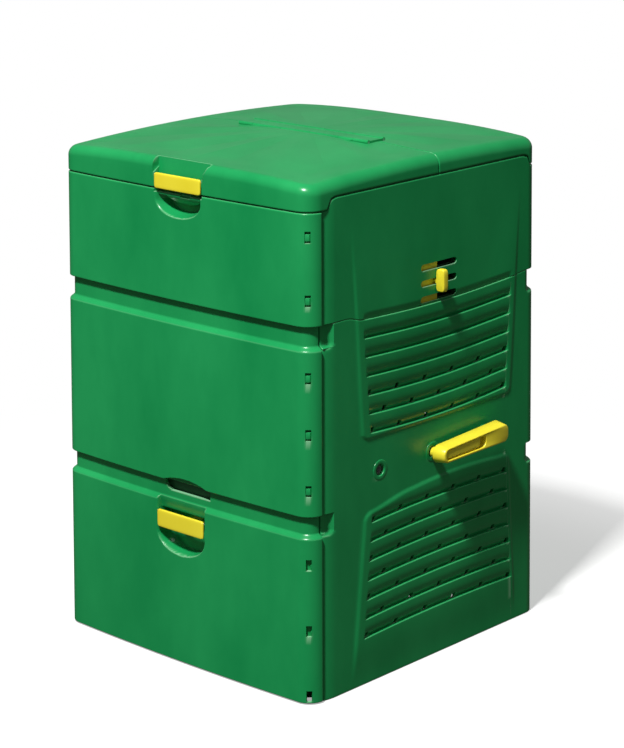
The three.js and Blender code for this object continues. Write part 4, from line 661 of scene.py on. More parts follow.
def top_part(wraps):
    """A sheet with a recess that is open upwards, a shelf in it, and a rim 6.5 mm further in."""
    columns = np.unique(np.concatenate([
        tier_columns(wraps, -90, 90, 1.7), [-78.5, -69.5, -68.0, 74.0, 75.5, 93.0],
    ]))
    rows = ruler(
        (top_foot, 0.5), (833, 3), (836, 15), (873.5, 12.5), (898.5, 20), (1002, 1.7),
        (1031.5, 1.5), (1056, 1.2), (1061.4, 0.4), (1061.8, 1.5), (1065, 0.5), (top_shoulder, 0.3),
        (1068.3, 3), (1078.5, 0.5), (top_end, 0),
    )
    u, z, along = tier_grid(columns, rows)
    in_rim = z > top_shoulder + 0.1
    outer = np.maximum(end_round(u, wraps) + edge_round(z - top_foot), 6.5 * in_rim)
    outer += np.where(in_rim, edge_round(top_end - z, 1.2), edge_round(top_shoulder - z, 3.0))
    bowl = bowl_depth(along, z, **lid_bowl)
    open_top = (along > -69) & (along < 75) & (z > 1061.6)
    bowl = np.minimum(np.where(open_top, lid_bowl["depth"], bowl), shelf_depth(along, z))
    rim_gap = (z > 1069.5) & (along > -78.5) & (along < 93)
    outer = np.maximum(np.where(rim_gap, np.maximum(outer, 21.0), outer), bowl)
    foot = step_depth * soft((848 - z) / 10.5)
    back = bowl_depth(along, z, grow=4.0, **lid_bowl)
    inner = np.maximum(wall_thickness + foot, np.maximum(back, outer + 3.5))
    inner = np.where(z > 1059, np.maximum(12.0, outer + 3.5), inner)
    holes = hook_mask(cell_middles(u), cell_middles(z), top_hooks if wraps else ())
    return tier_part(z, along, outer, inner, holes)


strike_spans = (
    ((1, 35), (1060.5, 1064)), ((1, 35), (1077, top_end)),
    ((1, 4), (1064, 1077)), ((32, 35), (1064, 1077)),
)
strike = [front_box(across, (10.6, 13.0), upright) for across, upright in strike_spans]
make_tier("top_skin", top_part, strike, "top_panel")

# %% [markdown]
# ## The side panels
# Each side has two fields of curved ribs, and every rib is a lip over a scoop, with air holes in
# the scoop. A straight grid would cut the curved lips into stairs. So the grid's own lines bend:
# the rows follow the lips, and the columns follow the slanted ends of the fields.

# %% Lines that the columns follow
upper_ribs = {"high": 823.0, "pitch": 42.2, "rise": 5.0, "sag": -9.0}
lower_ribs = {"high": 367.0, "pitch": 43.2, "rise": 2.0, "sag": 6.0}
field_heights = [0, 60, 400, 553, 568, 680, 825, 1023, 1110]
field_front = [-268, -261, -222, -219, -229, -237, -245, -259, -265]
field_rear = [316, 311, 286, 280, 289, 297, 305, 319, 325]
rib_heights = [0, 107.8, 367, 569.8, 823, 1110]
rib_front = [-237, -226, -199, -200, -223, -250]
rib_rear = [303, 295.2, 276, 269, 287, 307.4]


def seam_place(z):
    """Where the side starts, at the seam behind the front corner."""
    return 42.0 - half_depth(z)


def pocket_place(z):
    """Where the pockets near the rear corner start."""
    return half_depth(z) - 46.0


def side_stops(z, extra=()):
    """Places along the side that bound its strips at each height, from the front seam to the rear."""
    start, cy = seam_place(z), corner_y(z)
    front, rear = np.interp(z, field_heights, field_front), np.interp(z, field_heights, field_rear)
    rib_start, rib_end = np.interp(z, rib_heights, rib_front), np.interp(z, rib_heights, rib_rear)
    fixed = [np.full(z.shape, value) for value in extra]
    ends = [rib_end, rear, pocket_place(z), cy, cy + corner_arc]
    return np.stack([start, start + 31, front, rib_start, *fixed, *ends], -1)


def strip_columns(shares_per_strip):
    """One long list of (strip, share) pairs, with the doubled border columns taken out. A strip
    given as a number has that many columns at equal distances."""
    shares_per_strip = [
        np.linspace(0, 1, shares) if isinstance(shares, int) else np.asarray(shares)
        for shares in shares_per_strip
    ]
    strips = np.concatenate([
        np.stack([np.full(len(shares) - 1, index), shares[:-1]], -1)
        for index, shares in enumerate(shares_per_strip)
    ])
    last = [[len(shares_per_strip) - 1, 1.0]]
    return np.concatenate([strips, last])


def along_side(columns, stops):
    """Real place of each column: its share of the way between the two stops of its strip."""
    strip = columns[:, 0].astype(int)
    share = columns[:, 1]
    return stops[:, strip] * (1 - share) + stops[:, strip + 1] * share


rib_length = 486.0
hole_share, first_hole, hole_pitch = 11.0 / rib_length, 4.0 / rib_length, 0.192
whole_row = first_hole + np.arange(6) * hole_pitch
half_row = first_hole + hole_pitch / 2 + np.arange(5) * hole_pitch
hole_starts = np.concatenate([whole_row, half_row])
hole_edges = np.sort(np.concatenate([hole_starts, hole_starts + hole_share]))
rib_columns = ruler((0.0, 0.004), *[(edge, 0.026) for edge in hole_edges], (0.99, 0.004), (1.0, 0))
print("columns in a rib strip:", len(rib_columns))

# %% Rows that follow the lips


def lip_wave(share, ribs):
    """Rise of a lip against its nominal height: a tilt and a parabola along the rib."""
    return ribs["rise"] * (share - 0.5) + 4 * ribs["sag"] * share * (1 - share)


def rib_share(along, z):
    """How far along the rib a place is, 0 at the rib's front end and 1 at its rear end."""
    start = np.interp(z, rib_heights, rib_front)
    end = np.interp(z, rib_heights, rib_rear)
    return (along - start) / (end - start)


def row_shift(along, z):
    """How far a row is moved up at each place, so that it runs parallel to the lips near it."""
    share = rib_share(along, z)
    inner = np.clip(share, 0, 1)
    fade = soft(1 - np.maximum(-share, share - 1) / 0.09)
    upper = soft((z - 400) / 160)
    fade = fade * soft((z - 5) / 50)
    return fade * (upper * lip_wave(inner, upper_ribs) + (1 - upper) * lip_wave(inner, lower_ribs))


def rib_rows(ribs, first, last):
    """Stops for each rib: close rows round its lip, then the hole's foot and top, then the scoop."""
    stops = []
    for index in range(last, first - 1, -1):
        lip = ribs["high"] - ribs["pitch"] * index
        stops += [(lip - 2.4, 0.6), (lip - 0.6, 0.3), (lip, 0.4), (lip + 0.8, 3.1), (lip + 13, 6),
                  (lip + 36, 4)]
    return stops


def scoop_depth(share, z, ribs, first, last):
    """Depth of the scoops: the lip's edge is round, a ledge leads in, and the scoop runs out above."""
    depth, height = 9.0, 36.0
    ends = soft(share / 0.018) * soft((1 - share) / 0.018)
    total = np.zeros(z.shape)
    for index in range(first, last + 1):
        rise = z - (ribs["high"] - ribs["pitch"] * index)
        slope = (1 - np.clip(rise, 0, height) / height) ** 3
        ledge = 2.0 + (depth - 2.0) * np.clip(rise / 0.8, 0, 1)
        total += np.where(rise >= 0, ledge * slope, edge_round(-rise, 2.0) * (rise > -2.4))
    return total * ends


def hole_mask(share, z, ribs, rows_with_holes):
    """True in the cells of the air holes, which sit in every scoop and shift from row to row."""
    holes = np.zeros(z.shape, bool)
    for index in rows_with_holes:
        lip = ribs["high"] - ribs["pitch"] * index
        starts = half_row if index % 2 else whole_row
        level = (z > lip + 0.8) & (z < lip + 13)
        for start in starts:
            holes |= level & (share > start) & (share < start + hole_share)
    return holes


# %% Shallow fields, edge pockets and seams of a side


def field_depth(along, z):
    """The two rib fields stand proud of the side behind a soft border with round corners: the lower
    one by 2.8 mm, the upper one by 2 mm at its edge, from where it falls back to the wall."""
    front = along - np.interp(z, field_heights, field_front)
    rear = np.interp(z, field_heights, field_rear) - along
    sides = np.minimum(front, rear)
    upper = inside(sides, z - 551, 16)
    arch = 417 + 7 * np.clip(1 - ((along - 90) / 150) ** 2, 0, 1) - 22 * soft((-60 - along) / 160)
    lower = inside(sides, arch - z, 24)
    upper_rise = 2.0 * soft(upper / 9) * (1 - soft((upper - 12) / 100)) * soft((1045 - z) / 210)
    return -np.maximum(upper_rise, 2.8 * soft(lower / 11) * soft((z - 8) / 100))


def pocket_depth(along, z, joint):
    """The steps of the front wall run on for a short way, and end in a round pocket."""
    total = np.zeros(np.broadcast(along, z).shape)
    front_end = seam_place(z) + 31 - along
    rear_end = along - pocket_place(z)
    for foot, top in ((door_step, middle_foot), (middle_step, joint)):
        for reach in (front_end, rear_end):
            ramp = soft(inside(reach, z - foot, 13) / 11)
            roof = soft(inside(reach, top - z, 10) / 1.4)
            total = np.maximum(total, step_depth * ramp * roof * (z < top))
    return total


def seam_depth(along, z):
    """The side falls back by 5.5 mm towards the front seam, in a curve over 36 mm."""
    band = ((z > 374) & (z < 420)) | ((z > 780) & (z < 830.5))
    return np.where(band, 0, 5.5 * (1 - np.clip((along - seam_place(z)) / 36.0, 0, 1)) ** 2)


def edge_shares(length):
    """Shares for a strip whose start is a rounded edge, 2.5 mm wide."""
    near = np.array([0, 0.3, 0.8, 1.5, 2.5])
    far = np.linspace(2.5, length, max(2, int(length / 5)))[1:]
    return np.concatenate([near, far]) / length


rear_corner_shares = np.concatenate([np.linspace(0, 0.95, 15), [0.975, 0.99, 1]])

# %% [markdown]
# ## The lower side panel
# It carries most of the ribs, the three bearings of the turning floor, and a flange behind each
# corner that the front wall hooks into. Each bearing is a ring turned on a lathe: a short profile
# carried round a circle.

# %% Draw the lower side
joint_end = 830.5
lower_foot, lower_top = 0.2, 830.1
shaft_height = 478.0
front_shaft, centre_shaft, rear_shaft = -167.0, 10.0, 187.0


def joint_share(along):
    """How far along the topmost lip a place is."""
    return (along + 220.0) / 507.0


def joint_height(along):
    """Height of the joint between the two side panels: it follows the topmost lip."""
    inner = upper_ribs["high"] + lip_wave(np.clip(joint_share(along), 0, 1), upper_ribs)
    left = soft((along + 270.0) / 50.0)
    right = soft((337.0 - along) / 50.0)
    return joint_end + (inner - joint_end) * left * right


def lower_side_part():
    """A sheet whose rows run parallel to the lips, pressed in by fields, scoops and pockets."""
    rows = ruler(
        (lower_foot, 0.5), (2.7, 6), (28, 5), (62, 6), *rib_rows(lower_ribs, 0, 6)[:-2],
        (380, 2.6), (402, 2.2), (420.4, 0.4), (420.9, 2), (427, 12), (455, 12), (545, 2.5),
        *rib_rows(upper_ribs, 1, 6), (817, 3), (827.7, 0.5), (lower_top, 0),
    )
    columns = strip_columns([
        edge_shares(31), 12, 8, rib_columns, 7, 10, 6, rear_corner_shares,
    ])
    nominal = np.repeat(rows[:, None], len(columns), 1)
    along = along_side(columns, side_stops(rows))
    near_top = soft((nominal - 786) / 44)
    z = nominal + row_shift(along, nominal) * (1 - near_top)
    z += (joint_height(along) - 0.4 - lower_top) * near_top
    share = rib_share(along, nominal)
    scoops = scoop_depth(share, nominal, lower_ribs, 0, 6)
    scoops += scoop_depth(share, nominal, upper_ribs, 1, 6)
    pocket = pocket_depth(along, z, 900.0)
    outer = field_depth(along, z) + scoops + pocket + seam_depth(along, z)
    outer += (
        edge_round(along - along[:, :1]) + edge_round(along[:, -1:] - along)
        + edge_round(nominal - lower_foot)
    )
    outer += edge_round(lower_top - nominal, 2.2) * (pocket < 1)
    inner = np.maximum(wall_thickness, np.maximum(outer + 3.5, pocket + wall_thickness))
    middle_share, middle_z = cell_middles(share), cell_middles(nominal)
    holes = hole_mask(middle_share, middle_z, lower_ribs, range(0, 7))
    holes |= hole_mask(middle_share, middle_z, upper_ribs, (4, 5, 6))
    for centre in (front_shaft, centre_shaft, rear_shaft):
        holes |= np.hypot(cell_middles(along) - centre, cell_middles(z) - shaft_height) < 16
    return panel_faces(side_point(along, z, outer), side_point(along, z, inner), ~holes)


def boss_part(y):
    """The bearing's ring: it stands 0.9 mm proud, with rounded edges, and reaches 20 mm in."""
    wall = half_width(shaft_height)
    profile = (
        (-20, 12.6), (-20, 23), (-1, 23.6), (0.2, 23.0), (0.7, 22), (0.9, 20), (0.9, 15.6), (0.6, 14),
        (-0.4, 13), (-2, 12.6),
    )
    return lathe_along_x([(wall + out, radius) for out, radius in profile], y, shaft_height)


def flange_parts(z_low, z_high):
    """The flanges behind the front and the rear corner: strips of wall, 4.4 mm thick, that start
    under the seam."""
    nominal = np.linspace(nominal_corner - 12, wrap_end - 0.2, 18)
    u, z = np.meshgrid(nominal, np.linspace(z_low, z_high, 6))
    along = u + corner_x(z) - nominal_corner
    part = tier_part(z, along, 8.6, 13.0, np.zeros((5, 17), bool))
    return [part, *mirrored([part], 1)]


def peg_part(height, large):
    """The hook's peg in a slot of the front corner. Its face follows the slope of the corner; the
    door's pegs are small, because the door's slots have to pass over them."""
    low, high, first, last, sunk = (
        (-8.0, 6.5, 21.5, 28.6, 1.2) if large else (-8.5, 0.5, 26.0, 30.0, 6.5)
    )
    rings = []
    for z, shrink in ((low, 0.6), (low + 0.6, 0.0), (high - 0.6, 0.0), (high, 0.6)):
        cx, cy = corner_x(height + z), corner_y(height + z)
        x = np.array([first + shrink, last - shrink])
        near, far = np.sqrt(corner_radius**2 - x**2) - sunk - shrink
        outline = [(x[0], near), (x[1], far), (x[1], 14), (x[0], 14)]
        rings.append([(cx + across, -cy - out, height + z) for across, out in outline])
    return loft(rings)


def left_peg(part):
    """The same peg in a slot of the left front corner, where the hook comes from the side: its
    places along the front and round the corner are swapped."""
    points, faces = part
    cx, cy = corner_x(points[:, 2]), corner_y(points[:, 2])
    x, y = -(cx + (-points[:, 1] - cy)), -(cy + (points[:, 0] - cx))
    return np.stack([x, y, points[:, 2]], -1), faces


def make_sides(level, parts, right_pegs, left_pegs):
    """The right side as drawn; the left one is its mirror image, with its own pegs."""
    left = mirrored(parts, 0) + [left_peg(peg) for peg in left_pegs]
    for place, whole in (("right", parts + right_pegs), ("left", left)):
        node = f"{place}_side_{level}"
        make_piece(f"{place}_{level}_skin", whole, "green_plastic", node_names=[node], crease=34)


shelf_brackets = (
    [(-264.1, 465.4), (-264.1, 474.6), (-334.3, 485.2), (-334.3, 465.4)],
    [(284.1, 465.4), (284.1, 474.8), (334.3, 483.8), (334.3, 465.4)],
)
front_low, rear_low = flange_parts(28, 352)
front_high, rear_high = flange_parts(438.5, 758.5)
lower_side = [
    lower_side_part(), *[boss_part(y) for y in (front_shaft, centre_shaft, rear_shaft)],
    front_low, front_high, rear_low, rear_high,
    *[bar_along_x(outline, (345.4, 373.3)) for outline in shelf_brackets],
]
middle_pegs = [peg_part(z, True) for z in middle_hooks]
door_pegs = [peg_part(z, False) for z in door_hooks[1:]]
make_sides("lower", lower_side, door_pegs + middle_pegs, middle_pegs)

# %% [markdown]
# ## The upper side panel
# Its foot follows the topmost lip, three slots let air in, and its upper edge makes an S step where
# the lid comes down. The slots have round ends: the two rows that bound a slot draw together there.

# %% Draw the upper side
slot_heights = (826.5, 861.7, 896.9)
slot_front, slot_rear, slot_half = -30.0, 91.0, 7.4
slot_length = slot_rear - slot_front
shoulder = 1093.5


def step_curve(value):
    """The step of the lid line: it rises steeply like a quarter circle, then flattens; 0 to 1."""
    t = np.clip(value, 0, 1)
    return soft(t / 0.3) * 0.35 + 0.65 * np.sqrt(1 - (1 - t) ** 2)


def top_line(along):
    """Height of the panel's upper edge: low at both ends, high between, with a step each side."""
    return 1068.0 + 25.3 * step_curve((along + 323.0) / 31.0) * step_curve((350.0 - along) / 36.0)


def slot_squeeze(along, offset):
    """Moves rows near a slot's middle together towards its round ends; offset is from the middle."""
    end = np.minimum(along - slot_front, slot_rear - along)
    half = np.sqrt(np.maximum(slot_half**2 - (slot_half - np.clip(end, 0, slot_half)) ** 2, 2.2**2))
    half = np.where(end < 0, np.minimum(slot_half, 2.2 - end), half)
    near = soft((16.0 - np.abs(offset)) / (16.0 - slot_half))
    return -offset * (1 - half / slot_half) * near


def upper_side_part():
    """A sheet between the curved joint and the S-shaped top line, with a rim above it."""
    rows = ruler(
        (joint_end, 0.3), (830.8, 0.6), (832.0, 0.7), (833.3, 1.6), (841.3, 1.5), (844.4, 1.6),
        (850, 2.2), (854.3, 3.1), (869.1, 2.8), (876, 2.8), (889.5, 3.1), (904.3, 2.8), (913, 12),
        (1010, 2.5), (1030, 10), (1090, 0.5), (shoulder, 0.3), (1093.8, 3), (1104, 0.5), (1105.5, 0),
    )
    slot_edge = np.array([0, 0.5, 1.6, 3.6, slot_half]) / slot_length
    slot_middle = np.linspace(slot_half / slot_length, 1 - slot_half / slot_length, 16)[1:-1]
    columns = strip_columns([
        edge_shares(31), 34, 8,
        np.concatenate([[0, 0.02, 0.04], np.linspace(0.04, 0.96, 16)[1:], [0.98, 0.99, 1]]),
        np.concatenate([slot_edge, slot_middle, 1 - slot_edge[::-1]]),
        np.concatenate([[0, 0.01, 0.02], np.linspace(0.04, 0.96, 18), [0.98, 1]]),
        7, 22, 6, rear_corner_shares,
    ])
    nominal = np.repeat(rows[:, None], len(columns), 1)
    along = along_side(columns, side_stops(rows, (slot_front, slot_rear)))
    foot, high = joint_height(along), top_line(along)
    z = np.where(nominal < 850, foot + (nominal - joint_end) / 19.5 * (850 - foot), nominal)
    z = np.where(nominal > 1000, 1000 + (nominal - 1000) * (high - 1000) / 93.5, z)
    z = np.where(nominal > shoulder, high + nominal - shoulder, z)
    for height in slot_heights:
        z = z + np.where(np.abs(z - height) < 16, slot_squeeze(along, z - height), 0)
    share = joint_share(along)
    start, end = along[:, :1], along[:, -1:]
    rise = np.clip(z - foot, 0, 16)
    ends = soft(share / 0.02) * soft((1 - share) / 0.02)
    scoop = 3.6 * (1 - rise / 16) ** 1.3 * ends
    in_rim = nominal > shoulder + 0.1
    outer = field_depth(along, z) + scoop + seam_depth(along, np.maximum(z, 831))
    outer += edge_round(along - start) + edge_round(end - along)
    outer += edge_round(shoulder - nominal, 3.0) * ~in_rim
    outer += edge_round(nominal - joint_end, 1.6) * (1 - ends)
    outer = np.where(in_rim, 6.5 + edge_round(1105.5 - nominal, 1.2), outer)
    banded = (along < start + 31) | (along > pocket_place(z))
    thick_foot = wall_thickness + step_depth * soft((848 - z) / 10.5)
    inner = np.where(banded, thick_foot, wall_thickness)
    by_slots = (np.abs(along - 30.5) < 78) & (z > 812) & (z < 914)
    inner = np.maximum(np.where(by_slots, 4.6, inner), outer + 2.2)
    inner = np.where(nominal > 1084, np.maximum(inner, 12.0), inner)
    middle_along, middle_row = cell_middles(along), cell_middles(nominal)
    slots = np.zeros(middle_row.shape, bool)
    for low, top in ((833.3, 841.3), (854.3, 869.1), (889.5, 904.3)):
        slots |= (middle_row > low) & (middle_row < top)
    slots &= (middle_along > slot_front) & (middle_along < slot_rear)
    return panel_faces(side_point(along, z, outer), side_point(along, z, inner), ~slots)


def shoe_part():
    """The shoe inside the side panel that carries the hinge beam."""
    wall = half_width(1085)
    outline = rectangle((wall - 27, wall - 4), (1031, 1039.6))
    return loft([[(x, y, z) for x, z in outline] for y in (-2.0, 62.0)])


upper_side = [upper_side_part(), shoe_part(), *flange_parts(848.5, 1050)]
upper_pegs = [peg_part(z, True) for z in top_hooks]
make_sides("upper", upper_side, upper_pegs, upper_pegs)

# %% [markdown]
# ## The lid
# The lid has two halves that swing up from a strip across the crown. Each half is one surface: a
# skirt that follows the S step of the side, a round rim, and a crowned top with faint fan-like
# facets that run out from the middle. The rows go up the skirt, round the rim and in to the strip.

# %% Draw a lid half
lid_crown = 1148.0
seam_line = 30.0
seam_gap = 0.8
rim_radius = 22.0
strip_half_width, strip_half_depth = 196.2, 30.6


def lid_top(x, y):
    """Height of the crowned top: a cubic fall to the sides and a parabola to the front and rear."""
    across = np.minimum(1, np.abs(x) / half_width(lid_crown))
    along = np.minimum(1, np.abs(y - seam_line) / half_depth(lid_crown))
    return lid_crown - 12 * across**3 - 12 * along**2


def fan_relief(x, y):
    """Faint facets: a zigzag of the direction from the middle, fading at the rim and the strip."""
    direction = np.degrees(np.arctan2(np.abs(x), np.abs(y - seam_line)))
    zigzag = np.interp(direction, [0, 14, 31, 47, 63, 76, 90], [0, 1, 0.1, 1, 0.0, 1, 0.35])
    reach = np.hypot(x, y - seam_line)
    edge = np.minimum(half_width(lid_crown) - np.abs(x), half_depth(lid_crown) - np.abs(y))
    return 4.2 * zigzag * soft((reach - 60) / 160) * soft((edge - 26) / 60)


def lid_outline(nominal, z, inset, seam):
    """Plan of one half, from the seam on the right, round the front, to the seam on the left."""
    cx, cy = corner_x(z), corner_y(z)
    side_reach = np.abs(nominal) - nominal_corner - corner_arc
    wall = front_point(np.clip(np.abs(nominal) + cx - nominal_corner, 0, cx + corner_arc), z, inset)
    flat = front_point(np.minimum(np.abs(nominal), nominal_corner) * cx / nominal_corner, z, inset)
    x = np.where(np.abs(nominal) > nominal_corner, wall[..., 0], flat[..., 0])
    y = np.where(np.abs(nominal) > nominal_corner, wall[..., 1], flat[..., 1])
    length = seam - seam_gap + cy
    y = np.where(side_reach > 0, -cy + length * side_reach / 400.0, y)
    return np.sign(nominal) * x, y


def lid_foot(y, rear):
    """Height of the skirt's foot: the side's step, moved 3 mm towards the corner for the gap."""
    low, length = (353.0, 36.0) if rear else (326.0, 31.0)
    return 1071.4 + 25.3 * step_curve((low - np.abs(y)) / length)


skirt_shares = (0, 0.02, 0.05, 0.1, 0.25, 0.5, 0.75, 1.0)
rim_angles = np.linspace(0, np.pi / 2, 12)[1:]
top_shares = np.concatenate([np.linspace(0, 0.985, 26)[1:] ** 1.15, [0.99, 0.994, 0.997, 1.0]])
below_top = len(skirt_shares) + len(rim_angles)
foot_rows = 6


def lid_rows(nominal, offset, seam, rear):
    """All points of a half's skin, drawn in by an offset. Rows: skirt, rim arc, then straight to
    the strip."""
    turn = -1.0 if rear else 1.0
    edge = rim_radius - offset
    level = np.full(nominal.shape, 1096.7)
    x0, y0 = lid_outline(nominal, level, offset, seam)
    line = lid_foot(y0, rear)
    x_foot, y_foot = lid_outline(nominal, line, offset, seam)
    rows = []
    for share in skirt_shares:
        x, y = x_foot + (x0 - x_foot) * share, y_foot + (y0 - y_foot) * share
        high = lid_top(x, turn * y) - offset - edge
        rows.append(np.stack([x, y, line + (high - line) * share], -1))
    for angle in rim_angles:
        x, y = lid_outline(nominal, level, offset + edge * (1 - math.cos(angle)), seam)
        z = lid_top(x, turn * y) - offset - edge * (1 - math.sin(angle))
        rows.append(np.stack([x, y, z], -1))
    rim_x, rim_y = x, y
    reach = np.maximum(np.abs(rim_x) / strip_half_width, np.abs(rim_y - seam) / strip_half_depth)
    in_x, in_y = rim_x / reach, seam + (rim_y - seam) / reach
    for share in top_shares:
        x, y = rim_x + (in_x - rim_x) * share, rim_y + (in_y - rim_y) * share
        rows.append(np.stack([x, y, lid_top(x, turn * y) - offset - fan_relief(x, turn * y)], -1))
    return np.stack(rows)


def seam_fall(grid, seam):
    """How far the skin falls back at the seam and at the strip, which have a round edge."""
    x, y = np.abs(grid[..., 0]), grid[..., 1]
    from_seam = np.where(x > 196, seam - seam_gap - y, 99.0)
    from_strip = np.maximum(x - strip_half_width, seam - strip_half_depth - y)
    return edge_round(np.maximum(np.minimum(from_seam, from_strip), 0), 3.0)


def lid_half_part(rear):
    """A half with round edges at the seam and at the foot; the latch recess pushes the rows back."""
    fine = ruler(
        (0, 2), (66, 1.0), (90, 3), (104, 12), (nominal_corner, 3.6), (wrap_end, 9),
        (wrap_end + 24, 1.6), (wrap_end + 76, 14), (wrap_end + 394, 0.6), (wrap_end + 400, 0),
    )
    nominal = np.concatenate([-fine[:0:-1], fine])
    seam = -seam_line if rear else seam_line
    outer, inner = (lid_rows(nominal, offset, seam, rear) for offset in (0.0, 4.0))
    fall = seam_fall(outer, seam)
    outer[below_top:, :, 2] -= fall[below_top:]
    outer[:below_top, :, 0] -= np.sign(outer[:below_top, :, 0]) * fall[:below_top]
    x, z = outer[..., 0], outer[..., 2]
    right_edge = 74 + 13 * soft((z - 1102) / 34)
    left_edge = -68 - 3.5 * soft((z - 1104) / 3)
    pressed = soft((right_edge - x) / 1.2 + 0.5) * soft((x - left_edge) / 1.2 + 0.5)
    for grid, extra in ((outer, 0.0), (inner, 4.0)):
        depth = 15 + extra + 0.16 * np.maximum(grid[..., 2] - 1103.5, 0)
        wanted = np.maximum(grid[..., 1], front_face(grid[..., 2]) + depth)
        grid[..., 1] += (wanted - grid[..., 1]) * pressed
    radius = edge_round(outer[..., 2] - outer[:1, :, 2], 1.6)
    toward = outer[..., :2] / np.maximum(np.linalg.norm(outer[..., :2], axis=-1, keepdims=True), 1)
    outer[:foot_rows, :, :2] -= (toward * radius[..., None])[:foot_rows]
    part = panel_faces(outer, inner, np.ones((outer.shape[0] - 1, outer.shape[1] - 1), bool))
    return mirrored([part], 1)[0] if rear else part


def barrel_parts(y, side):
    """Every second barrel of a hinge line, with the short web that ties it to its own side."""
    parts = []
    pitch = 390.0 / 9
    for index in range(1, 9, 2):
        low = -195.0 + index * pitch + 0.3
        ends = [(low, 4.4), (low + 0.6, 5.0), (low + pitch - 1.2, 5.0), (low + pitch - 0.6, 4.4)]
        parts.append(round_bar(ends, y, 1145, 24))
        web = rectangle(sorted((y, y + 14 * side)), (1140, 1146))
        parts.append(bar_along_x(web, (low, low + pitch - 0.6)))
    return parts


for place, rod, side in (("front", 5.0, -1), ("rear", 55.0, 1)):
    half = [lid_half_part(place == "rear"), *barrel_parts(rod, side)]
    body = f"{place}_lid"
    make_piece(f"{body}_skin", half, "green_plastic", body, [body], 44)

# %% [markdown]
# ## Latches
# A latch is a yellow rocker bar with a soft, slightly crowned face. Its section is a rounded
# rectangle carried along X, and the first and last rings shrink, so that the ends are round too.

# %% Draw the latch bars


def super_ellipse(count, power):
    """Shares across and up of a rounded rectangle: a circle's cosine and sine to a small power."""
    angle = np.linspace(0, 2 * np.pi, count, endpoint=False)
    c, s = np.cos(angle), np.sin(angle)
    return np.sign(c) * np.abs(c) ** power, np.sign(s) * np.abs(s) ** power


def latch_part(width, low, high):
    """Rounded bar on the leaning wall: proud by 3 mm, 7 mm thick, its face crowned by 0.5 mm."""
    across, upward = super_ellipse(72, 0.33)
    steps = np.array([0, 0.5, 1.4, 2.8, 4.6, 7.0])
    shrink = np.array([4.4, 3.0, 1.8, 0.9, 0.3, 0.0])
    middle = np.linspace(7, width - 7, 9)[1:-1]
    places = np.concatenate([steps, middle, width - steps[::-1]])
    shrinks = np.concatenate([shrink, 0 * middle, shrink[::-1]])
    half = (high - low) / 2
    rings = []
    for place, less in zip(places, shrinks):
        z = (low + high) / 2 + upward * (half - less)
        depth = 0.5 + across * (3.5 - less * 0.45)
        crown = 0.8 * (1 - (2 * place / width - 1) ** 2) * (across < 0)
        y = front_face(z) + depth - crown * 0.6
        rings.append(np.stack([np.full(z.shape, latch_centre - width / 2 + place), y, z], -1))
    return loft(rings)


lid_latch = [latch_part(138.0, 1070.0, 1103.5), front_box((5, 31), (3, 9.5), (1071.5, 1076.5))]
door_latch = [
    latch_part(142.0, 308.5, 348.5), front_box((-10, 16), (3, 52), (322, 329)),
    front_box((-10, 16), (48, 52), (329, 332)),
]
for place in ("front", "rear"):
    for kind, parts in (("lid", lid_latch), ("door", door_latch)):
        turned = mirrored(parts, 1) if place == "rear" else parts
        body = f"{place}_{kind}_latch"
        make_piece(f"{body}_bar", turned, "yellow_plastic", body, [body])

# %% [markdown]
# ## Lever and knobs
# The lever is a hollowed handle: an outline round its rim, drawn in step by step over the edge,
# down into the pocket and up again over the rib in the pocket. All rings have the same number of
# points and the same formula, so the whole handle is one loft.

# %% Draw the lever


def lever_edges(y):
    """Lower and upper edge of the lever at y: both spread from the shaft to the tip."""
    share = (np.asarray(y) - centre_shaft) / 197.0
    centre, half = shaft_height + 6.5 * share, 17 + 3.5 * share
    return centre - half, centre + half


def lever_ring(x, left, right, margin_low, margin_high, round_left, round_right):
    """A rounded outline: quarter circles at four corners, and evenly spaced points on the edges
    between them. Its lower and upper edges follow the lever's taper."""
    arcs = []
    for quarter in range(4):
        at_left = quarter in (1, 2)
        radius = round_left if at_left else round_right
        y = left + radius if at_left else right - radius
        low, high = lever_edges(y)
        low, high = low + margin_low, high - margin_high
        radius = min(radius, 0.47 * (high - low))
        z = high - radius if quarter < 2 else low + radius
        angle = np.linspace(0, np.pi / 2, 13) + quarter * np.pi / 2
        arcs.append(np.stack([y + radius * np.cos(angle), z + radius * np.sin(angle)], -1))
    between = np.linspace(0, 1, 14)[1:-1, None]
    outline = []
    for arc, following in zip(arcs, arcs[1:] + arcs[:1]):
        outline += [arc, arc[-1] + (following[0] - arc[-1]) * between]
    outline = np.concatenate(outline)
    return np.column_stack([np.full(len(outline), x), outline])


# Rings of the pocket and of the rib in it: how deep they lie, their left and right end, their
# distance from the lever's lower and upper edge, and the radii of their corners.
pocket_rings = (
    (0.0, 3.6, 142.4, 5.0, 1.6, 5.4, 14), (0.5, 4.6, 141.4, 5.8, 2.2, 5, 13),
    (1.6, 5.0, 141.0, 6.2, 2.6, 4.6, 13), (15.4, 5.4, 140.4, 6.6, 3.0, 4.4, 13),
    (16, 6.2, 139.6, 7.4, 3.8, 4, 12), (16, 8.2, 122.0, 9.4, 5.4, 3, 4.6),
    (15, 8.4, 121.6, 9.6, 5.6, 3, 4.6), (3.4, 8.8, 121.0, 9.9, 5.9, 3, 4.6),
    (2.3, 9.6, 120.2, 10.6, 6.6, 3, 4.4), (2.0, 11.0, 118.8, 12.0, 8.0, 3, 4),
    (1.9, 15.0, 112.0, 16.0, 15.0, 1.5, 1.5),
)


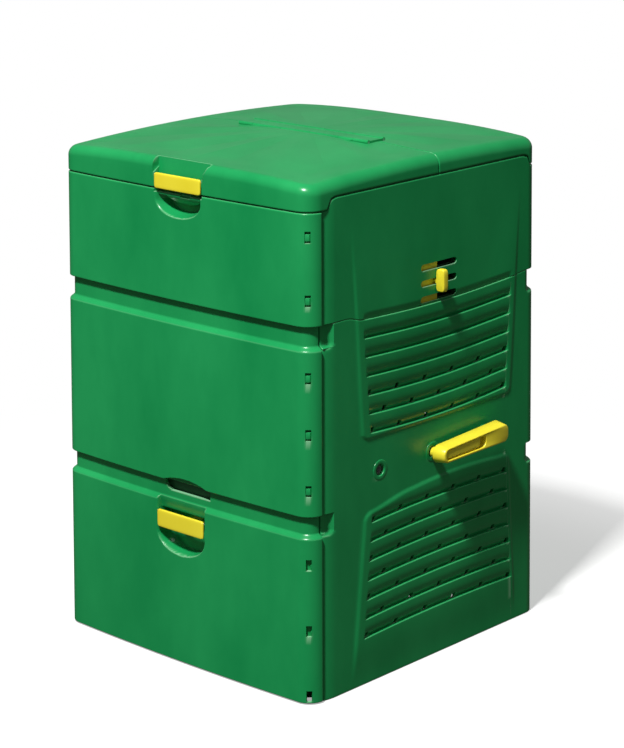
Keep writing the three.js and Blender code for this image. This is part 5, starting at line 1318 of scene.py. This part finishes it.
def lever_part():
    """Rings from the middle of the back, round the outside, into the pocket and over the rib."""
    back = half_width(shaft_height) + 14.0
    face = back + 33.0
    outside = [(0.0, 3.4), (0.3, 2.2), (1.2, 0.9), (2.6, 0.0)]
    rings = [lever_ring(back, 10, 205, 12, 12, 4, 4)]
    for t, d in outside:
        rings.append(lever_ring(back + t, -11 + d, 226 - d, d - 4, d - 4, 21 - d, 18 - d))
    for t, d in reversed(outside):
        rings.append(lever_ring(face - t, -7 + d, 222 - d, d, d, 17 - d, 15 - d))
    rings += [lever_ring(face - sunk, *rest) for sunk, *rest in pocket_rings]
    return loft(rings)


def collar_part():
    """The collar between the lever and its bearing."""
    wall = half_width(shaft_height)
    profile = ((2.2, 9.4), (2.2, 11.4), (2.8, 12), (15, 12), (15, 9.4))
    return lathe_along_x([(wall + out, r) for out, r in profile], centre_shaft, shaft_height)


lever = [lever_part(), collar_part()]
make_piece("floor_lever_handle", lever, "yellow_plastic", "floor_flap_centre", ["floor_lever"], 46)

# %% Draw the two shafts whose ends show in their bearings


def shaft_tube(y, high):
    """A steel tube, 18 mm across, up to x = high: it has rounded ends and a bore of 7 mm radius."""
    low = -376.4
    profile = [
        (low, 7), (low, 8.6), (low + 0.4, 9), (high - 0.6, 9), (high, 8.4), (high, 7.2),
        (high - 0.4, 7),
    ]
    return lathe_along_x(profile, y, shaft_height)


shaft_end = (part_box("front_flap_shaft")[1][0] - shift_x) * 1000
for place, y in (("front", front_shaft), ("rear", rear_shaft)):
    tube, node = [shaft_tube(y, shaft_end)], f"{place}_flap_shaft"
    make_piece(f"{place}_shaft_tube", tube, "steel", f"floor_flap_{place}", [node])
print("shaft ends at:", round(shaft_end, 1))

# %% Draw the knobs of the air slides
knob_middle = 27.0


def knob_part():
    """An upright fin: a rounded outline in depth and height, carried along Y with shrinking ends."""
    out_share, up_share = super_ellipse(64, 0.42)
    ends = (
        (0, 2.4), (0.4, 1.3), (1.2, 0.5), (2.4, 0), (8, 0), (13.6, 0), (14.8, 0.5), (15.6, 1.3),
        (16, 2.4),
    )
    rings = []
    for place, less in ends:
        z = 863.5 + up_share * (25 - less)
        out = 11.8 + out_share * (11.2 - less * 0.5)
        side = (place - 8) * (1 - 0.085 * out / 23)
        rings.append(np.stack([half_width(z) + out, knob_middle + side, z], -1))
    return loft(rings)


def knob_stem():
    """The stem that goes through the middle slot to the slide plate."""
    wall = half_width(slot_heights[1])
    outline = rectangle((knob_middle - 6.5, knob_middle + 6.5), (857.2, 866.2))
    return bar_along_x(outline, (wall - 8.2, wall + 1.6))


knob = [knob_part(), knob_stem()]
for place, parts in (("right", knob), ("left", mirrored(knob, 0))):
    node = f"{place}_slide_knob"
    make_piece(f"{place}_knob_fin", parts, "yellow_plastic", f"{place}_air_slide", [node])

# %% [markdown]
# ## Camera, floor and light
# The photograph looks at the corner between the front and the right side, from a little above.
# A camera is nine numbers: a place, a direction, a turn and a lens. These were found by matching
# measured corners of the bin. The floor is pale and plain. A soft lamp stands high in front of the
# bin, because in the photograph the front and the lid are bright and the right side lies in shade;
# a wide, weak one behind keeps the rear readable.

# %% The camera of the photograph
focal_pixels, picture_height, sensor = 2396.851, 748.0, 36.0
camera_place = np.array([3.583693 + shift_x, -3.887884, 2.060693])
yaw, pitch, roll = (math.radians(value) for value in (42.428, -15.577, -0.16))
forward = np.array([
    -math.sin(yaw) * math.cos(pitch), math.cos(yaw) * math.cos(pitch), math.sin(pitch),
])
level_right = np.array([math.cos(yaw), math.sin(yaw), 0.0])
above = np.cross(level_right, forward)
right = math.cos(roll) * level_right + math.sin(roll) * above
up = -math.sin(roll) * level_right + math.cos(roll) * above
camera = bpy.data.objects.new("camera", bpy.data.cameras.new("camera"))
bpy.context.scene.collection.objects.link(camera)
turn = Matrix([list(right), list(up), list(-forward)]).transposed().to_4x4()
camera.matrix_world = Matrix.Translation(camera_place.tolist()) @ turn
camera.data.sensor_width = sensor
camera.data.lens = focal_pixels / picture_height * sensor
camera.data.clip_end = 60.0
bpy.context.scene.camera = camera
print("lens:", round(camera.data.lens, 2))

# %% The floor, which fades into a white distance


def floor_material(name):
    """Pale and matt near the bin, so that it takes the shadow; far away the camera sees plain white.
    The share of white is a soft step of the distance from the middle. Light that bounces off the
    floor meets a greyer one, as grass or paving is, so the green isn't washed out from below."""
    material, tree, shader = new_material(name)
    place = add_node(tree, "TexCoord").outputs["Object"]
    distance = add_node(tree, "VectorMath", {0: place}, operation="LENGTH").outputs["Value"]
    fade = add_node(tree, "MapRange", {
        "From Min": 0.75, "From Max": 1.9, "To Min": 0.4, "Value": distance,
    }, interpolation_type="SMOOTHSTEP")
    seen = add_node(tree, "LightPath").outputs["Is Camera Ray"]
    paint = add_node(tree, "Mix", {
        "A": (0.06, 0.07, 0.05, 1.0), "B": (0.97, 0.97, 0.96, 1.0), "Factor": seen,
    }, data_type="RGBA")
    set_inputs(tree, shader, {
        "Roughness": 0.9, "Specular IOR Level": 0.1, "Base Color": paint.outputs["Result"],
    })
    share = add_node(tree, "Math", {0: fade.outputs["Result"], 1: seen}, operation="MULTIPLY")
    white = add_node(tree, "Emission").outputs["Emission"]
    mixed = add_node(tree, "MixShader", {
        "Fac": share.outputs["Value"], 1: shader.outputs["BSDF"], 2: white,
    })
    set_inputs(tree, tree.nodes["Material Output"], {"Surface": mixed.outputs["Shader"]})
    return material


reach = 14.0
floor_mesh = bpy.data.meshes.new("floor")
floor_corners = [(x, y, 0) for x, y in rectangle((-reach, reach), (-reach, reach))]
floor_mesh.from_pydata(floor_corners, [], [(0, 1, 2, 3)])
floor = bpy.data.objects.new("floor", floor_mesh)
bpy.context.scene.collection.objects.link(floor)
floor_mesh.materials.append(floor_material("pale_floor"))

# %% World and lamps
world = bpy.data.worlds.new("studio")
bpy.context.scene.world = world
world.use_nodes = True
sky = world.node_tree
rays = add_node(sky, "LightPath")
seen = add_node(sky, "Math", {
    0: rays.outputs["Is Camera Ray"], 1: rays.outputs["Is Transmission Ray"],
}, operation="MAXIMUM")
level = add_node(sky, "MapRange", {"To Min": 0.18, "To Max": 1.0, "Value": seen.outputs["Value"]})
set_inputs(sky, sky.nodes["Background"], {
    "Color": (1.0, 1.0, 1.0, 1.0), "Strength": level.outputs["Result"],
})


def soft_lamp(name, place, size, power):
    """A square of light at place that looks at the middle of the bin."""
    data = bpy.data.lights.new(name, "AREA")
    data.shape = "RECTANGLE"
    data.size = data.size_y = size
    data.energy = power
    lamp = bpy.data.objects.new(name, data)
    bpy.context.scene.collection.objects.link(lamp)
    direction = Vector([to - at for to, at in zip((0, 0, 0.6), place)])
    lamp.rotation_euler = direction.to_track_quat("-Z", "Y").to_euler()
    lamp.location = place
    return lamp


soft_lamp("key", (1.45, -4.7, 8.2), 0.9, 1130)
rear_fill = soft_lamp("rear_fill", (-3.4, 4.0, 2.4), 2.2, 110)
rear_fill.visible_glossy = False
bpy.context.scene.view_settings.view_transform = "Standard"
